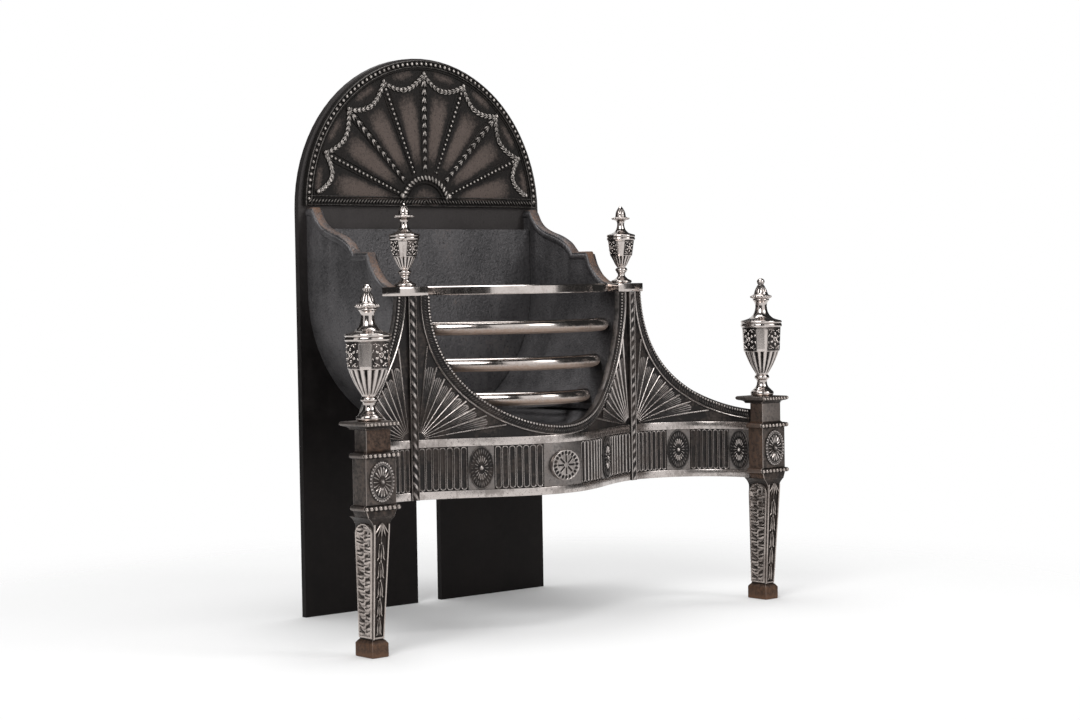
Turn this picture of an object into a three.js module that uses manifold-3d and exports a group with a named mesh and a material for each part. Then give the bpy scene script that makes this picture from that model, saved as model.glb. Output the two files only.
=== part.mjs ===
// Serpentine-fronted fire grate of cast iron and polished steel.
//
// Every piece is drawn in "elevation space": x to the right, y up, and z forward, counted from
// the front face of the tall back plate. One turned group at the end stands the grate up, so that
// +Z is up, the front faces -Y and the origin lies under the middle of the grate. Millimetres.

import * as THREE from 'three';
import { mergeVertices } from 'three/addons/utils/BufferGeometryUtils.js';
import Module from 'manifold-3d';

const wasm = await Module();
wasm.setup();

// ---------------------------------------------------------------- driving dimensions

const GAP = 0.3; // clearance left between pieces that touch

const PLATE = { halfWidth: 262, springing: 678, thickness: 11, slotHalf: 26, slotTop: 250 };
const FAN = {
  radius: 253,
  base: 684.5,
  thickness: 6,
  rimWidth: 15,
  relief: 5,
  hub: 50,
  lineHalfWidth: 4.5,
  lines: 7,
  swagRadius: 229,
  swagSag: 24,
  swagHalfWidth: 5,
};
const BASKET = {
  centre: 540,
  inner: 228,
  wall: 18,
  end: 76, // degrees below level at which each cheek's round wall stops, leaving the ash gap
  linerTop: 646,
  linerThickness: 17,
  ledge: 22,
  ledgeHeight: 8,
};
const FRONT = {
  crest: 357,
  trough: 264,
  troughAt: 262,
  wingRadius: 136,
  thickness: 9,
  low: 210,
  high: 532.7,
};
const FRIEZE = { fillet: 11, top: 303, relief: 3, panel: 2 };
const FLUTE = {
  ridge: 4.5,
  relief: 2.5,
  margin: 2,
  perBay: 7,
  low: FRONT.low + FRIEZE.fillet,
  high: FRIEZE.top - FRIEZE.fillet,
};
const CENTRE_PANEL = 40;
const OVAL = { halfWidth: 18.5, halfHeight: 34, panel: 42 };
const OUTER_BAY = 70; // length of the fluted bay between a rope strip and the outer patera
const END_PATERA = 20; // from the middle of the end patera to the end of the wing
const MEDALLION_RADIUS = 25;
const MOUTH = {
  centre: 526,
  radius: 205,
  band: 12.5,
  fillet: 4.5,
  bandRelief: 2.5,
  filletRelief: 4,
  steps: 22,
};
const RAYS = {
  foot: 300,
  start: 28,
  count: 8,
  first: 5,
  pitch: 9.6,
  width: [1.6, 4.4],
  relief: 2.5,
  clear: 3,
  border: 6, // plain margin left below the top and beside the ends of the castings
  step: 36,
};
const EMBED = 1.5; // how far raised work reaches into the casting that carries it
const BEND_PITCH = { center: 31, wing: 16 }; // length between two bends of the faceted castings
const WING_RIM = { corner: 540, radius: 213 };
const STRIP = { at: 236, halfWidth: 7, proud: 6, rope: 3.6 };
const BLOCK = { inner: 205.5, outer: 262, rear: 225.5, front: 272.5, low: 533, high: 547.5 };
const BAR = { radius: 11, forward: 345, turn: 49, topBow: 225 };
const BARS = [
  { name: 'round_bar_upper', height: 480, bow: 225 },
  { name: 'round_bar_middle', height: 421, bow: 180 },
  { name: 'round_bar_lower', height: 365, bow: 126 },
];
const LEG = {
  at: 420.5,
  footWidth: 30,
  footRear: 374,
  footFront: 417,
  footTop: 26,
  chamfer: 5,
  neckWidth: 23,
  neckRear: 378.5,
  neckFront: 412.5,
  topWidth: 32,
  topRear: 378.6,
  topFront: 425.6,
  flare: 14,
  top: 209.6,
  dieWidth: 55,
  dieRear: 392,
  dieFront: 425.6,
  dieLow: 226.7,
  dieHigh: 296.3,
  beadWidth: 67,
  beadHeight: 8,
  beadFront: 431.6,
  upperWidth: 45,
  upperRear: 392,
  upperFront: 421,
  upperHigh: 337.7,
  capWidth: 62.6,
  capRear: 364.7,
  capFront: 434.3,
  capLow: 338,
  capCove: 5,
  capHigh: 350,
};
const LEG_PANEL = { margin: 8, border: 5, depth: 2, arch: 6 };
const LEG_PATERA = { halfWidth: 22, halfHeight: 30 };
const GRATE = {
  low: 348.6,
  high: 360,
  halfWidth: 122,
  rear: 24,
  side: 236,
  bow: 312,
  bar: 9,
  pitch: 25,
  rim: 14,
};
const STUD = { radius: 4, above: 11.5, belowUpper: 7.5, belowLower: 36 }; // from the urn's seat
const BOLT = { head: 9, headHeight: 7, shank: 5, intoCheek: 19, heights: [660, 575] };

/**
 * Profiles as [radius, height] points from the seat upwards. Each urn comes apart into a foot, a
 * fluted body and a lid, whose profiles start and end on the axis.
 */
const URNS = {
  lower: {
    foot: [[17, 0], [20, 4], [18.6, 9.5], [11, 16], [8.6, 22], [9.2, 27.5], [12.7, 31], [11, 36]],
    bowl: [[10.5, 36], [16.5, 47], [24, 61], [29.4, 76]],
    frieze: [[31, 77.5], [31.2, 91], [33, 118], [35.2, 120], [35.2, 126], [32, 130]],
    lid: [
      [31, 130], [20, 133.5], [12.8, 141], [9.6, 155], [14.4, 164.6], [13.6, 167],
      [17, 168.6], [17, 172], [12.6, 174.6], [4.6, 190.8], [6.9, 195.6], [5, 200.4],
    ],
    tip: 202,
  },
  upper: {
    foot: [[16, 0], [17.7, 2.4], [16.6, 5], [9.8, 8.4], [5.8, 13], [8.6, 19], [10.3, 22.6], [8, 26.5]],
    bowl: [[7.8, 26.5], [13.5, 38], [17.6, 46]],
    frieze: [[18.8, 47], [22.4, 73], [24.4, 75.4], [24.4, 80], [22, 83.4]],
    lid: [
      [21, 83.4], [13, 86], [8.2, 91], [5.7, 104.5], [14.2, 110.5], [8.8, 113.4],
      [8.4, 119], [4.6, 128],
    ],
    tip: 132,
  },
};

// The origin is under the middle of the whole depth, bolt heads to leg mouldings.
const REAR_REACH = PLATE.thickness + BOLT.headHeight + GAP;
const PLATE_Y = (LEG.capFront - REAR_REACH) / 2;

// ---------------------------------------------------------------- finishes

function finish(color, roughness, metalness) {
  return new THREE.MeshStandardMaterial({ color, roughness, metalness });
}

const BLACK_IRON = finish(0x211e1b, 0.62, 0.6);
const FIRED_IRON = finish(0x3c3b3e, 0.75, 0.55);
const FAN_IRON = finish(0x4a433f, 0.5, 0.75);
const PEWTER = finish(0x7d746d, 0.38, 0.9);
const BRIGHT_STEEL = finish(0xb9aca4, 0.18, 1.0);
const PATINA = finish(0x584a41, 0.45, 0.85);

// ---------------------------------------------------------------- solids and booleans

/** Joins the vertices of a geometry that share a place, and leaves only their positions. */
function weld(geometry) {
  const bare = geometry.clone();
  bare.deleteAttribute('normal');
  bare.deleteAttribute('uv');
  return mergeVertices(bare, 1e-4);
}

/** A geometry as a solid that can be joined and cut. */
function toSolid(geometry) {
  const bare = weld(geometry);
  return new wasm.Manifold(new wasm.Mesh({
    numProp: 3,
    vertProperties: new Float32Array(bare.attributes.position.array),
    triVerts: new Uint32Array(bare.index.array),
  }));
}

/** A geometry from a flat list of coordinates and a flat list of triangle corners. */
function meshOf(coordinates, corners) {
  const geometry = new THREE.BufferGeometry();
  geometry.setAttribute('position', new THREE.BufferAttribute(new Float32Array(coordinates), 3));
  geometry.setIndex(Array.from(corners));
  return geometry;
}

function toGeometry(solid) {
  const mesh = solid.getMesh();
  return meshOf(mesh.vertProperties, mesh.triVerts);
}

function join(...geometries) {
  return toGeometry(geometries.map(toSolid).reduce((a, b) => a.add(b)));
}

function cut(base, ...tools) {
  return toGeometry(tools.map(toSolid).reduce((a, b) => a.subtract(b), toSolid(base)));
}

function common(a, b) {
  return toGeometry(toSolid(a).intersect(toSolid(b)));
}

// ---------------------------------------------------------------- drawing helpers

function outline(points) {
  return new THREE.Shape(points.map(([x, y]) => new THREE.Vector2(x, y)));
}

/** Points of an arc, angles in degrees, both ends included. */
function arc(cx, cy, radius, from, to, steps) {
  return Array.from({ length: steps + 1 }, (_, i) => {
    const a = THREE.MathUtils.degToRad(from + ((to - from) * i) / steps);
    return [cx + radius * Math.cos(a), cy + radius * Math.sin(a)];
  });
}

/** A front-view outline made solid between two distances in front of the plate. */
function slab(shape, rear, front) {
  const geometry = new THREE.ExtrudeGeometry(shape, { depth: front - rear, bevelEnabled: false });
  return geometry.translate(0, 0, rear);
}

/** A plan outline of [x, forward] points made solid between two heights, with holes if any. */
function planSlab(points, low, high, holes = []) {
  const drawn = (ring) => outline(ring.map(([x, f]) => [x, -f]));
  const shape = drawn(points);
  shape.holes = holes.map(drawn);
  const geometry = new THREE.ExtrudeGeometry(shape, { depth: high - low, bevelEnabled: false });
  return geometry.rotateX(-Math.PI / 2).translate(0, low, 0);
}

/** A side-view outline of [forward, height] points made solid between two x values. */
function sideSlab(points, left, right) {
  const depth = right - left;
  const geometry = new THREE.ExtrudeGeometry(outline(points), { depth, bevelEnabled: false });
  return geometry.rotateY(-Math.PI / 2).translate(right, 0, 0);
}

function rectangle(x0, y0, x1, y1) {
  return outline([[x0, y0], [x1, y0], [x1, y1], [x0, y1]]);
}

/** A box between two x values, two heights and two distances in front of the plate. */
function box(x0, x1, y0, y1, z0, z1) {
  const geometry = new THREE.BoxGeometry(x1 - x0, y1 - y0, z1 - z0);
  return geometry.translate((x0 + x1) / 2, (y0 + y1) / 2, (z0 + z1) / 2);
}

/** A box whose lower rectangle differs from its upper one: each is [x0, x1, z0, z1]. */
function taperedBox(lower, low, upper, high) {
  const geometry = new THREE.BoxGeometry(1, 1, 1);
  const position = geometry.attributes.position;
  for (let i = 0; i < position.count; i += 1) {
    const [x0, x1, z0, z1] = position.getY(i) < 0 ? lower : upper;
    position.setXYZ(
      i,
      position.getX(i) < 0 ? x0 : x1,
      position.getY(i) < 0 ? low : high,
      position.getZ(i) < 0 ? z0 : z1,
    );
  }
  return geometry;
}

/** An upright round rod between two heights. */
function rod(radius, low, high) {
  return new THREE.CylinderGeometry(radius, radius, high - low, 12).translate(0, (low + high) / 2, 0);
}

/** A round rod that points forward, between two distances in front of the plate. */
function pin(radius, x, height, rear, front) {
  const geometry = new THREE.CylinderGeometry(radius, radius, front - rear, 12);
  return geometry.rotateX(Math.PI / 2).translate(x, height, (rear + front) / 2);
}

// ---------------------------------------------------------------- the serpentine front

/**
 * The plan of the front: bowed forward in the middle, hollow under the upper urns, then a quarter
 * round out to each leg. at(s) gives a point and the forward normal at the arc length s.
 */
class SerpentinePlan {
  constructor(steps = 400) {
    const { crest, trough, troughAt, wingRadius } = FRONT;
    const half = (crest - trough) / 2;
    this.table = [[0, 0, crest]];
    const add = (x, f) => {
      const [s, px, pf] = this.table[this.table.length - 1];
      this.table.push([s + Math.hypot(x - px, f - pf), x, f]);
    };
    for (let i = 1; i <= steps; i += 1) {
      const x = (troughAt * i) / steps;
      add(x, trough + half * (1 + Math.cos((Math.PI * x) / troughAt)));
    }
    this.troughLength = this.table[this.table.length - 1][0];
    for (let i = 1; i <= steps; i += 1) {
      const a = (Math.PI / 2) * (i / steps);
      add(troughAt + wingRadius * Math.sin(a), trough + wingRadius * (1 - Math.cos(a)));
    }
  }

  /** Interpolates the table on one of its columns (0 length, 1 x, 2 forward). */
  lookUp(column, value) {
    const { table } = this;
    let i = 1;
    while (i < table.length - 1 && table[i][column] < value) i += 1;
    const t = (value - table[i - 1][column]) / (table[i][column] - table[i - 1][column]);
    return table[i].map((v, k) => table[i - 1][k] + t * (v - table[i - 1][k]));
  }

  lengthAtX(x) {
    return Math.sign(x) * this.lookUp(1, Math.abs(x))[0];
  }

  at(s) {
    const side = s < 0 ? -1 : 1;
    const [, x, f] = this.lookUp(0, Math.abs(s));
    const step = 0.5;
    const ahead = this.lookUp(0, Math.abs(s) + step);
    const behind = Math.abs(s) < step ? null : this.lookUp(0, Math.abs(s) - step);
    const [dx, df] = behind ? [ahead[1] - behind[1], ahead[2] - behind[2]] : [1, 0];
    const length = Math.hypot(dx, df);
    return { x: side * x, f, nx: (-side * df) / length, nf: dx / length };
  }
}

const plan = new SerpentinePlan();
const STRIP_S = plan.lengthAtX(STRIP.at);
const TROUGH_S = plan.troughLength;
const WING_END_S = TROUGH_S + FRONT.wingRadius
  * Math.acos(1 - (LEG.dieRear - GAP - FRONT.trough) / FRONT.wingRadius) - 0.8;

/** The bends of the faceted castings, shared by the strips so that these seat on the front. */
function bendStations() {
  const right = [];
  const [inner, outer] = [STRIP_S - STRIP.halfWidth, STRIP_S + STRIP.halfWidth];
  for (let s = BEND_PITCH.center / 2; s < inner - 6; s += BEND_PITCH.center) right.push(s);
  right.push(inner, STRIP_S, outer);
  for (let s = outer + BEND_PITCH.wing; s < WING_END_S; s += BEND_PITCH.wing) right.push(s);
  return [...right.map((s) => -s).reverse(), ...right];
}

const STATIONS = bendStations();

/** A point of the flat casting carried on to the plan: [length, height, relief] to x, y, z. */
function onPlan([s, height, proud]) {
  const { x, f, nx, nf } = plan.at(s);
  return [x + nx * proud, height, f + nf * proud];
}

/** A bar of the casting through cross-sections, each the four corners of one end in order. */
function loft(sections) {
  const vertices = sections.flatMap((corners) => corners.flatMap(onPlan));
  const faces = [0, 2, 1, 0, 3, 2];
  const last = (sections.length - 1) * 4;
  faces.push(last, last + 1, last + 2, last, last + 2, last + 3);
  for (let i = 0; i < last; i += 4) {
    for (let k = 0; k < 4; k += 1) {
      const [a, b] = [i + k, i + ((k + 1) % 4)];
      faces.push(a, b, b + 4, a, b + 4, a + 4);
    }
  }
  return meshOf(vertices, faces);
}

/** A ribbon of the casting from one length to another, between two heights given for a length. */
function ribbon(from, to, lowAt, highAt, rear, front) {
  const inside = STATIONS.filter((s) => s > from + 2 && s < to - 2);
  return loft([from, ...inside, to].map((s) => {
    const [low, high] = [lowAt(s), highAt(s)];
    return [[s, low, front], [s, low, rear], [s, high, rear], [s, high, front]];
  }));
}

/** A level band of the casting. */
function band(from, to, low, high, rear, front) {
  return ribbon(from, to, () => low, () => high, rear, front);
}

/** A smooth raised field of the frieze between its fillets. */
function friezeField(from, to, front) {
  return band(from, to, FLUTE.low - 1, FLUTE.high + 1, -EMBED, front);
}

/** Height of the lower side of the wing's swept top edge, inset from it by a distance. */
function wingEdge(s, inset = 0) {
  const radius = WING_RIM.radius + inset;
  const across = Math.min(WING_RIM.radius, Math.max(0, WING_RIM.radius - (s - TROUGH_S)));
  return WING_RIM.corner - Math.sqrt(radius ** 2 - across ** 2);
}

/** A raised ring round the mouth between two radii. */
function mouthRing(inner, outer, front) {
  const lip = Math.asin((FRONT.high - MOUTH.centre) / outer);
  return loft(Array.from({ length: MOUTH.steps + 1 }, (_, i) => {
    const a = -lip + ((Math.PI + 2 * lip) * i) / MOUTH.steps;
    const lengthAt = (r) => plan.lengthAtX(-r * Math.cos(a));
    const point = (r, proud) => [lengthAt(r), MOUTH.centre - r * Math.sin(a), proud];
    return [point(outer, front), point(outer, -EMBED), point(inner, -EMBED), point(inner, front)];
  }));
}

/** Upright ridges between the flutes of one stretch of the frieze. */
function fluteRidges(from, to) {
  const pitch = (to - from) / FLUTE.perBay;
  return Array.from({ length: FLUTE.perBay + 1 }, (_, i) => {
    const middle = from + i * pitch;
    const half = i === 0 || i === FLUTE.perBay ? FLUTE.ridge / 4 : FLUTE.ridge / 2;
    return friezeField(middle - half, middle + half, FLUTE.relief);
  });
}

/** A raised ray of a sunburst: a thin wedge from the strip's foot at an angle in degrees. */
function ray(foot, degrees, reach) {
  const a = THREE.MathUtils.degToRad(degrees);
  const [c, n] = [Math.cos(a), Math.sin(a)];
  const { start, width, relief, step } = RAYS;
  const steps = Math.max(1, Math.ceil((Math.abs(c) * (reach - start)) / step));
  const sections = Array.from({ length: steps + 1 }, (_, i) => {
    const t = i / steps;
    const along = start + t * (reach - start);
    const half = (width[0] + t * (width[1] - width[0])) / 2;
    const point = (off, proud) => {
      return [foot + along * c - off * n, RAYS.foot + along * n + off * c, proud];
    };
    return [point(-half, relief), point(-half, -EMBED), point(half, -EMBED), point(half, relief)];
  });
  return loft(sections);
}

/** How far a ray runs before it meets a border, tested by walking outwards. */
function rayReach(foot, degrees, meetsBorder) {
  const a = THREE.MathUtils.degToRad(degrees);
  let along = RAYS.start + 2;
  while (!meetsBorder(foot + along * Math.cos(a), RAYS.foot + along * Math.sin(a))) along += 1;
  return along - RAYS.clear;
}

/** Whether a place on the middle casting is over the mouth's border or the top margin. */
function meetsMouth(s, height) {
  const { x } = plan.at(s);
  const border = MOUTH.radius + MOUTH.band + MOUTH.fillet;
  return height > FRONT.high - RAYS.border || Math.hypot(x, height - MOUTH.centre) < border;
}

/** Whether a place on a wing is over its swept border, its end margin or its top margin. */
function meetsWingEdge(s, height) {
  if (s > WING_END_S - RAYS.border || height > FRONT.high - RAYS.border) return true;
  return s > TROUGH_S && height > wingEdge(s, MOUTH.band + MOUTH.fillet);
}

/** The middle casting, pierced by the round mouth of the fire. */
function frontCenter() {
  const edge = STRIP_S - GAP / 2;
  const { low, high, thickness } = FRONT;
  const { centre, radius } = MOUTH;
  const above = high + 60;
  const mouth = [[radius, above], ...arc(0, centre, radius, 0, -180, MOUTH.steps), [-radius, above]];
  const opening = slab(outline(mouth.reverse()), 0, FRONT.crest + 100);
  const field = cut(band(-edge, edge, low, high, -thickness, 0), opening);
  const rim = radius + MOUTH.band;
  const parts = [
    field,
    mouthRing(radius, rim + 0.5, MOUTH.bandRelief),
    mouthRing(rim, rim + MOUTH.fillet, MOUTH.filletRelief),
  ];
  const filletEnd = STRIP_S - STRIP.halfWidth - GAP;
  parts.push(band(-filletEnd, filletEnd, low, FLUTE.low, -EMBED, FRIEZE.relief));
  parts.push(band(-filletEnd, filletEnd, FLUTE.high, FRIEZE.top, -EMBED, FRIEZE.relief));
  parts.push(plainPanel(0, CENTRE_PANEL));
  const halfOval = OVAL.panel / 2 + FLUTE.margin;
  for (const side of [-1, 1]) {
    parts.push(plainPanel(side * OVAL_S.inner, OVAL.panel / 2));
    const bays = [
      [CENTRE_PANEL + FLUTE.margin, OVAL_S.inner - halfOval],
      [OVAL_S.inner + halfOval, STRIP_S - STRIP.halfWidth - FLUTE.margin],
    ];
    for (const [near, far] of bays) {
      parts.push(...fluteRidges(Math.min(side * near, side * far), Math.max(side * near, side * far)));
    }
    for (let i = 0; i < RAYS.count; i += 1) {
      const lift = RAYS.first + i * RAYS.pitch;
      const degrees = side > 0 ? 180 - lift : lift;
      const foot = side * STRIP_S;
      parts.push(ray(foot, degrees, rayReach(foot, degrees, meetsMouth)));
    }
  }
  return join(...parts);
}

/** The plain raised panel of the frieze behind a patera or the medallion. */
function plainPanel(middle, half) {
  return friezeField(middle - half, middle + half, FRIEZE.panel);
}

/** An outer casting, swept down from the upper urn to the leg. */
function frontWing(side) {
  const start = STRIP_S + GAP / 2;
  const { low, high, thickness } = FRONT;
  const top = (s) => Math.min(high, wingEdge(s));
  const under = (inset) => (s) => Math.min(high - inset, wingEdge(s, inset));
  const rim = MOUTH.band + MOUTH.fillet;
  const swept = TROUGH_S + 1;
  const filletStart = STRIP_S + STRIP.halfWidth + GAP;
  const parts = [
    ribbon(start, WING_END_S, () => low, top, -thickness, 0),
    ribbon(swept, WING_END_S, under(MOUTH.band), top, -EMBED, MOUTH.bandRelief),
    ribbon(swept, WING_END_S, under(rim), under(MOUTH.band - 0.5), -EMBED, MOUTH.filletRelief),
    band(filletStart, WING_END_S, low, FLUTE.low, -EMBED, FRIEZE.relief),
    band(filletStart, WING_END_S, FLUTE.high, FRIEZE.top, -EMBED, FRIEZE.relief),
    plainPanel(OVAL_S.outer, OVAL.panel / 2),
    friezeField(OVAL_S.end - OVAL.panel / 2, WING_END_S, FRIEZE.panel),
  ];
  const half = OVAL.panel / 2 + FLUTE.margin;
  parts.push(...fluteRidges(STRIP_S + STRIP.halfWidth + FLUTE.margin, OVAL_S.outer - half));
  parts.push(...fluteRidges(OVAL_S.outer + half, OVAL_S.end - half));
  for (let i = 0; i < RAYS.count; i += 1) {
    const degrees = RAYS.first + i * RAYS.pitch;
    parts.push(ray(STRIP_S, degrees, rayReach(STRIP_S, degrees, meetsWingEdge)));
  }
  const right = join(...parts);
  return side > 0 ? right : mirrored(right);
}

/** The mirror image of a solid in x, with its faces still pointing out. */
function mirrored(geometry) {
  const copy = weld(geometry).scale(-1, 1, 1);
  const index = copy.index.array;
  for (let i = 0; i < index.length; i += 3) {
    [index[i], index[i + 1]] = [index[i + 1], index[i]];
  }
  return copy;
}

const OVAL_S = {
  inner: CENTRE_PANEL + (STRIP_S - STRIP.halfWidth - CENTRE_PANEL) / 2,
  outer: STRIP_S + STRIP.halfWidth + OUTER_BAY + OVAL.panel / 2,
  end: WING_END_S - END_PATERA,
};
const FRIEZE_MIDDLE = (FLUTE.low + FLUTE.high) / 2;

/** A domed boss with a round or oval rim, as stacked rings of points scaled about its middle. */
function boss(halfWidth, halfHeight, rings, sides) {
  const vertices = [];
  rings.forEach(([scale, z]) => {
    for (let i = 0; i < sides; i += 1) {
      const a = (2 * Math.PI * i) / sides;
      vertices.push(scale * halfWidth * Math.cos(a), scale * halfHeight * Math.sin(a), z);
    }
  });
  const faces = [];
  for (let r = 0; r + 1 < rings.length; r += 1) {
    for (let i = 0; i < sides; i += 1) {
      const [a, b] = [r * sides + i, r * sides + ((i + 1) % sides)];
      faces.push(a, b, b + sides, a, b + sides, a + sides);
    }
  }
  const last = (rings.length - 1) * sides;
  for (let i = 1; i + 1 < sides; i += 1) {
    faces.push(0, i + 1, i);
    faces.push(last, last + i, last + i + 1);
  }
  return meshOf(vertices, faces);
}

// Steps of a boss from its seat to its middle, as [share of the half size, height].
const PATERA_RINGS = [[1, 0], [0.97, 3], [0.82, 1.9], [0.3, 3], [0.22, 5]];
const MEDALLION_RINGS = [[1, 0], [1, 7], [0.93, 8.5], [0.2, 8.5], [0.14, 9.8]];
const LEG_PATERA_RINGS = [[1, 0], [0.97, 4], [0.84, 4], [0.8, 2.4], [0.26, 3], [0.2, 6]];

/** An oval patera bent to the front, seated on its plain panel. */
function friezePatera(s) {
  const oval = boss(OVAL.halfWidth, OVAL.halfHeight, PATERA_RINGS, 20);
  oval.translate(s, FRIEZE_MIDDLE, FRIEZE.panel + GAP);
  const position = oval.attributes.position;
  for (let i = 0; i < position.count; i += 1) {
    position.setXYZ(i, ...onPlan([position.getX(i), position.getY(i), position.getZ(i)]));
  }
  return oval;
}

/** The round medallion at the crest of the frieze. */
function centerMedallion() {
  const disc = boss(MEDALLION_RADIUS, MEDALLION_RADIUS, MEDALLION_RINGS, 24);
  return disc.translate(0, FRIEZE_MIDDLE - 1, FRONT.crest + FRIEZE.panel + GAP);
}

/** The strip with a raised rope that covers the joint of two front castings. */
function ropeStrip(side) {
  const { halfWidth, proud, rope } = STRIP;
  const at = side * STRIP_S;
  const base = band(at - halfWidth, at + halfWidth, FRONT.low, FRONT.high, GAP, proud);
  return join(base, band(at - rope, at + rope, FRONT.low, FRONT.high, GAP + 1, proud + rope));
}

/** The block on the front that carries an upper urn. */
function topBlock(side) {
  const [x0, x1] = side > 0 ? [BLOCK.inner, BLOCK.outer] : [-BLOCK.outer, -BLOCK.inner];
  const body = box(x0, x1, BLOCK.low, BLOCK.high, BLOCK.rear, BLOCK.front);
  const [x, z] = URN_SEATS.upper(side);
  return cut(body, studHole(x, z, BLOCK.high - STUD.belowUpper - 0.5, BLOCK.high + 1));
}

// ---------------------------------------------------------------- back plate and fan panel

/** The tall plate with its half-round head, slotted at the foot. */
function backPlate() {
  const { halfWidth, springing, thickness, slotHalf, slotTop } = PLATE;
  const points = [
    [-halfWidth, 0],
    [-slotHalf, 0],
    [-slotHalf, slotTop],
    [slotHalf, slotTop],
    [slotHalf, 0],
    [halfWidth, 0],
    ...arc(0, springing, halfWidth, 0, 180, 40),
  ];
  const holes = BOLT_PLACES.map(([x, h]) => pin(BOLT.shank + GAP, x, h, -thickness - 1, 1));
  return cut(slab(outline(points), -thickness, 0), ...holes);
}

const CHEEK_MIDDLE = BASKET.inner + BASKET.wall / 2;
const BOLT_PLACES = [-1, 1].flatMap((side) => BOLT.heights.map((h) => [side * CHEEK_MIDDLE, h]));

/** A square-headed bolt through the back plate into the rear edge of a cheek. */
function plateBolt(x, height) {
  const rear = -PLATE.thickness - GAP;
  const head = box(-BOLT.head, BOLT.head, -BOLT.head, BOLT.head, rear - BOLT.headHeight, rear);
  const shank = pin(BOLT.shank, 0, 0, rear - 1, BOLT.intoCheek - GAP);
  return join(head, shank).translate(x, height, 0);
}

/** The half-round panel on the plate's head: a rim, a hub, radiating lines and hanging swags. */
function fanPanel() {
  const { radius, base, thickness, rimWidth, relief, hub, lines, lineHalfWidth } = FAN;
  const front = GAP + thickness;
  const top = front + relief;
  const halfRound = (r, steps) => arc(0, base, r, 0, 180, steps);
  const rim = [...halfRound(radius, 28), ...halfRound(radius - rimWidth, 28).reverse()];
  const parts = [
    slab(outline(halfRound(radius, 28)), GAP, front),
    slab(outline(rim), GAP + 1, top),
    slab(rectangle(-radius + 4, base, radius - 4, base + rimWidth), GAP + 1, top),
    slab(outline(halfRound(hub, 14)), GAP + 1, top + 2),
  ];
  const pitch = 180 / (lines + 1);
  const line = rectangle(hub - 4, -lineHalfWidth, radius - rimWidth + 2, lineHalfWidth);
  for (let i = 1; i <= lines; i += 1) {
    const a = THREE.MathUtils.degToRad(pitch * i);
    parts.push(slab(line, GAP + 1, top - 0.5).rotateZ(a).translate(0, base, 0));
  }
  for (let i = 0; i <= lines; i += 1) parts.push(swag(pitch * i, pitch * (i + 1), front, top + 1));
  return join(...parts);
}

/** One hanging swag between two neighbouring lines of the fan, given by their angles. */
function swag(from, to, rear, front) {
  const { base, swagRadius, swagSag, swagHalfWidth } = FAN;
  const edge = (offset) => Array.from({ length: 7 }, (_, i) => {
    const t = i / 6;
    const a = THREE.MathUtils.degToRad(from + (to - from) * t);
    const r = swagRadius - swagSag * Math.sin(Math.PI * t) + offset;
    return [r * Math.cos(a), base + 1 + r * Math.sin(a)];
  });
  const ring = [...edge(swagHalfWidth), ...edge(-swagHalfWidth).reverse()];
  return slab(outline(ring), rear - 1, front);
}

// ---------------------------------------------------------------- firebox

/** The fire-back: it fills the trough behind the fire and stands on the ledges of the cheeks. */
function fireboxLiner() {
  const { centre, inner, linerTop, linerThickness } = BASKET;
  const radius = inner - GAP;
  const foot = THREE.MathUtils.radToDeg(Math.asin((centre - GRATE.low) / radius));
  const points = [
    [-radius, linerTop], ...arc(0, centre, radius, 180, 180 + foot, 14),
    ...arc(0, centre, radius, 360 - foot, 360, 14), [radius, linerTop],
  ];
  return slab(outline(points), GAP, GAP + linerThickness);
}

/** Side view of a cheek: a short flat, an ogee, a ledge and a hollow down to the top block. */
function cheekProfile() {
  const ogee = new THREE.SplineCurve([
    [16, 681], [24, 667], [40, 651], [62, 641], [90, 633], [112, 622], [124, 610], [127, 604],
  ].map(([f, h]) => new THREE.Vector2(f, h)));
  const hollow = new THREE.SplineCurve([
    [165, 604], [172, 586], [188, 566], [206, 553], [BLOCK.rear - 1, 548],
  ].map(([f, h]) => new THREE.Vector2(f, h)));
  return [
    [GAP, 681],
    ...ogee.getPoints(14).map((p) => [p.x, p.y]),
    ...hollow.getPoints(8).map((p) => [p.x, p.y]),
    [BLOCK.rear - 1, BLOCK.low - GAP],
    [FRONT.crest, BLOCK.low - GAP],
    [FRONT.crest, 0],
    [GAP, 0],
  ];
}

/** The plan of everything in front of the casting's rear face, used to trim what butts on it. */
function aheadOfFront(clearance) {
  const bends = [-WING_END_S, ...STATIONS, WING_END_S].map((s) => {
    const [x, , f] = onPlan([s, 0, -clearance]);
    return [x, f];
  });
  const reach = 900;
  const beyond = [[reach, FRONT.trough], [reach, reach], [-reach, reach], [-reach, FRONT.trough]];
  return planSlab([...bends, ...beyond].reverse(), -10, reach);
}

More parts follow.
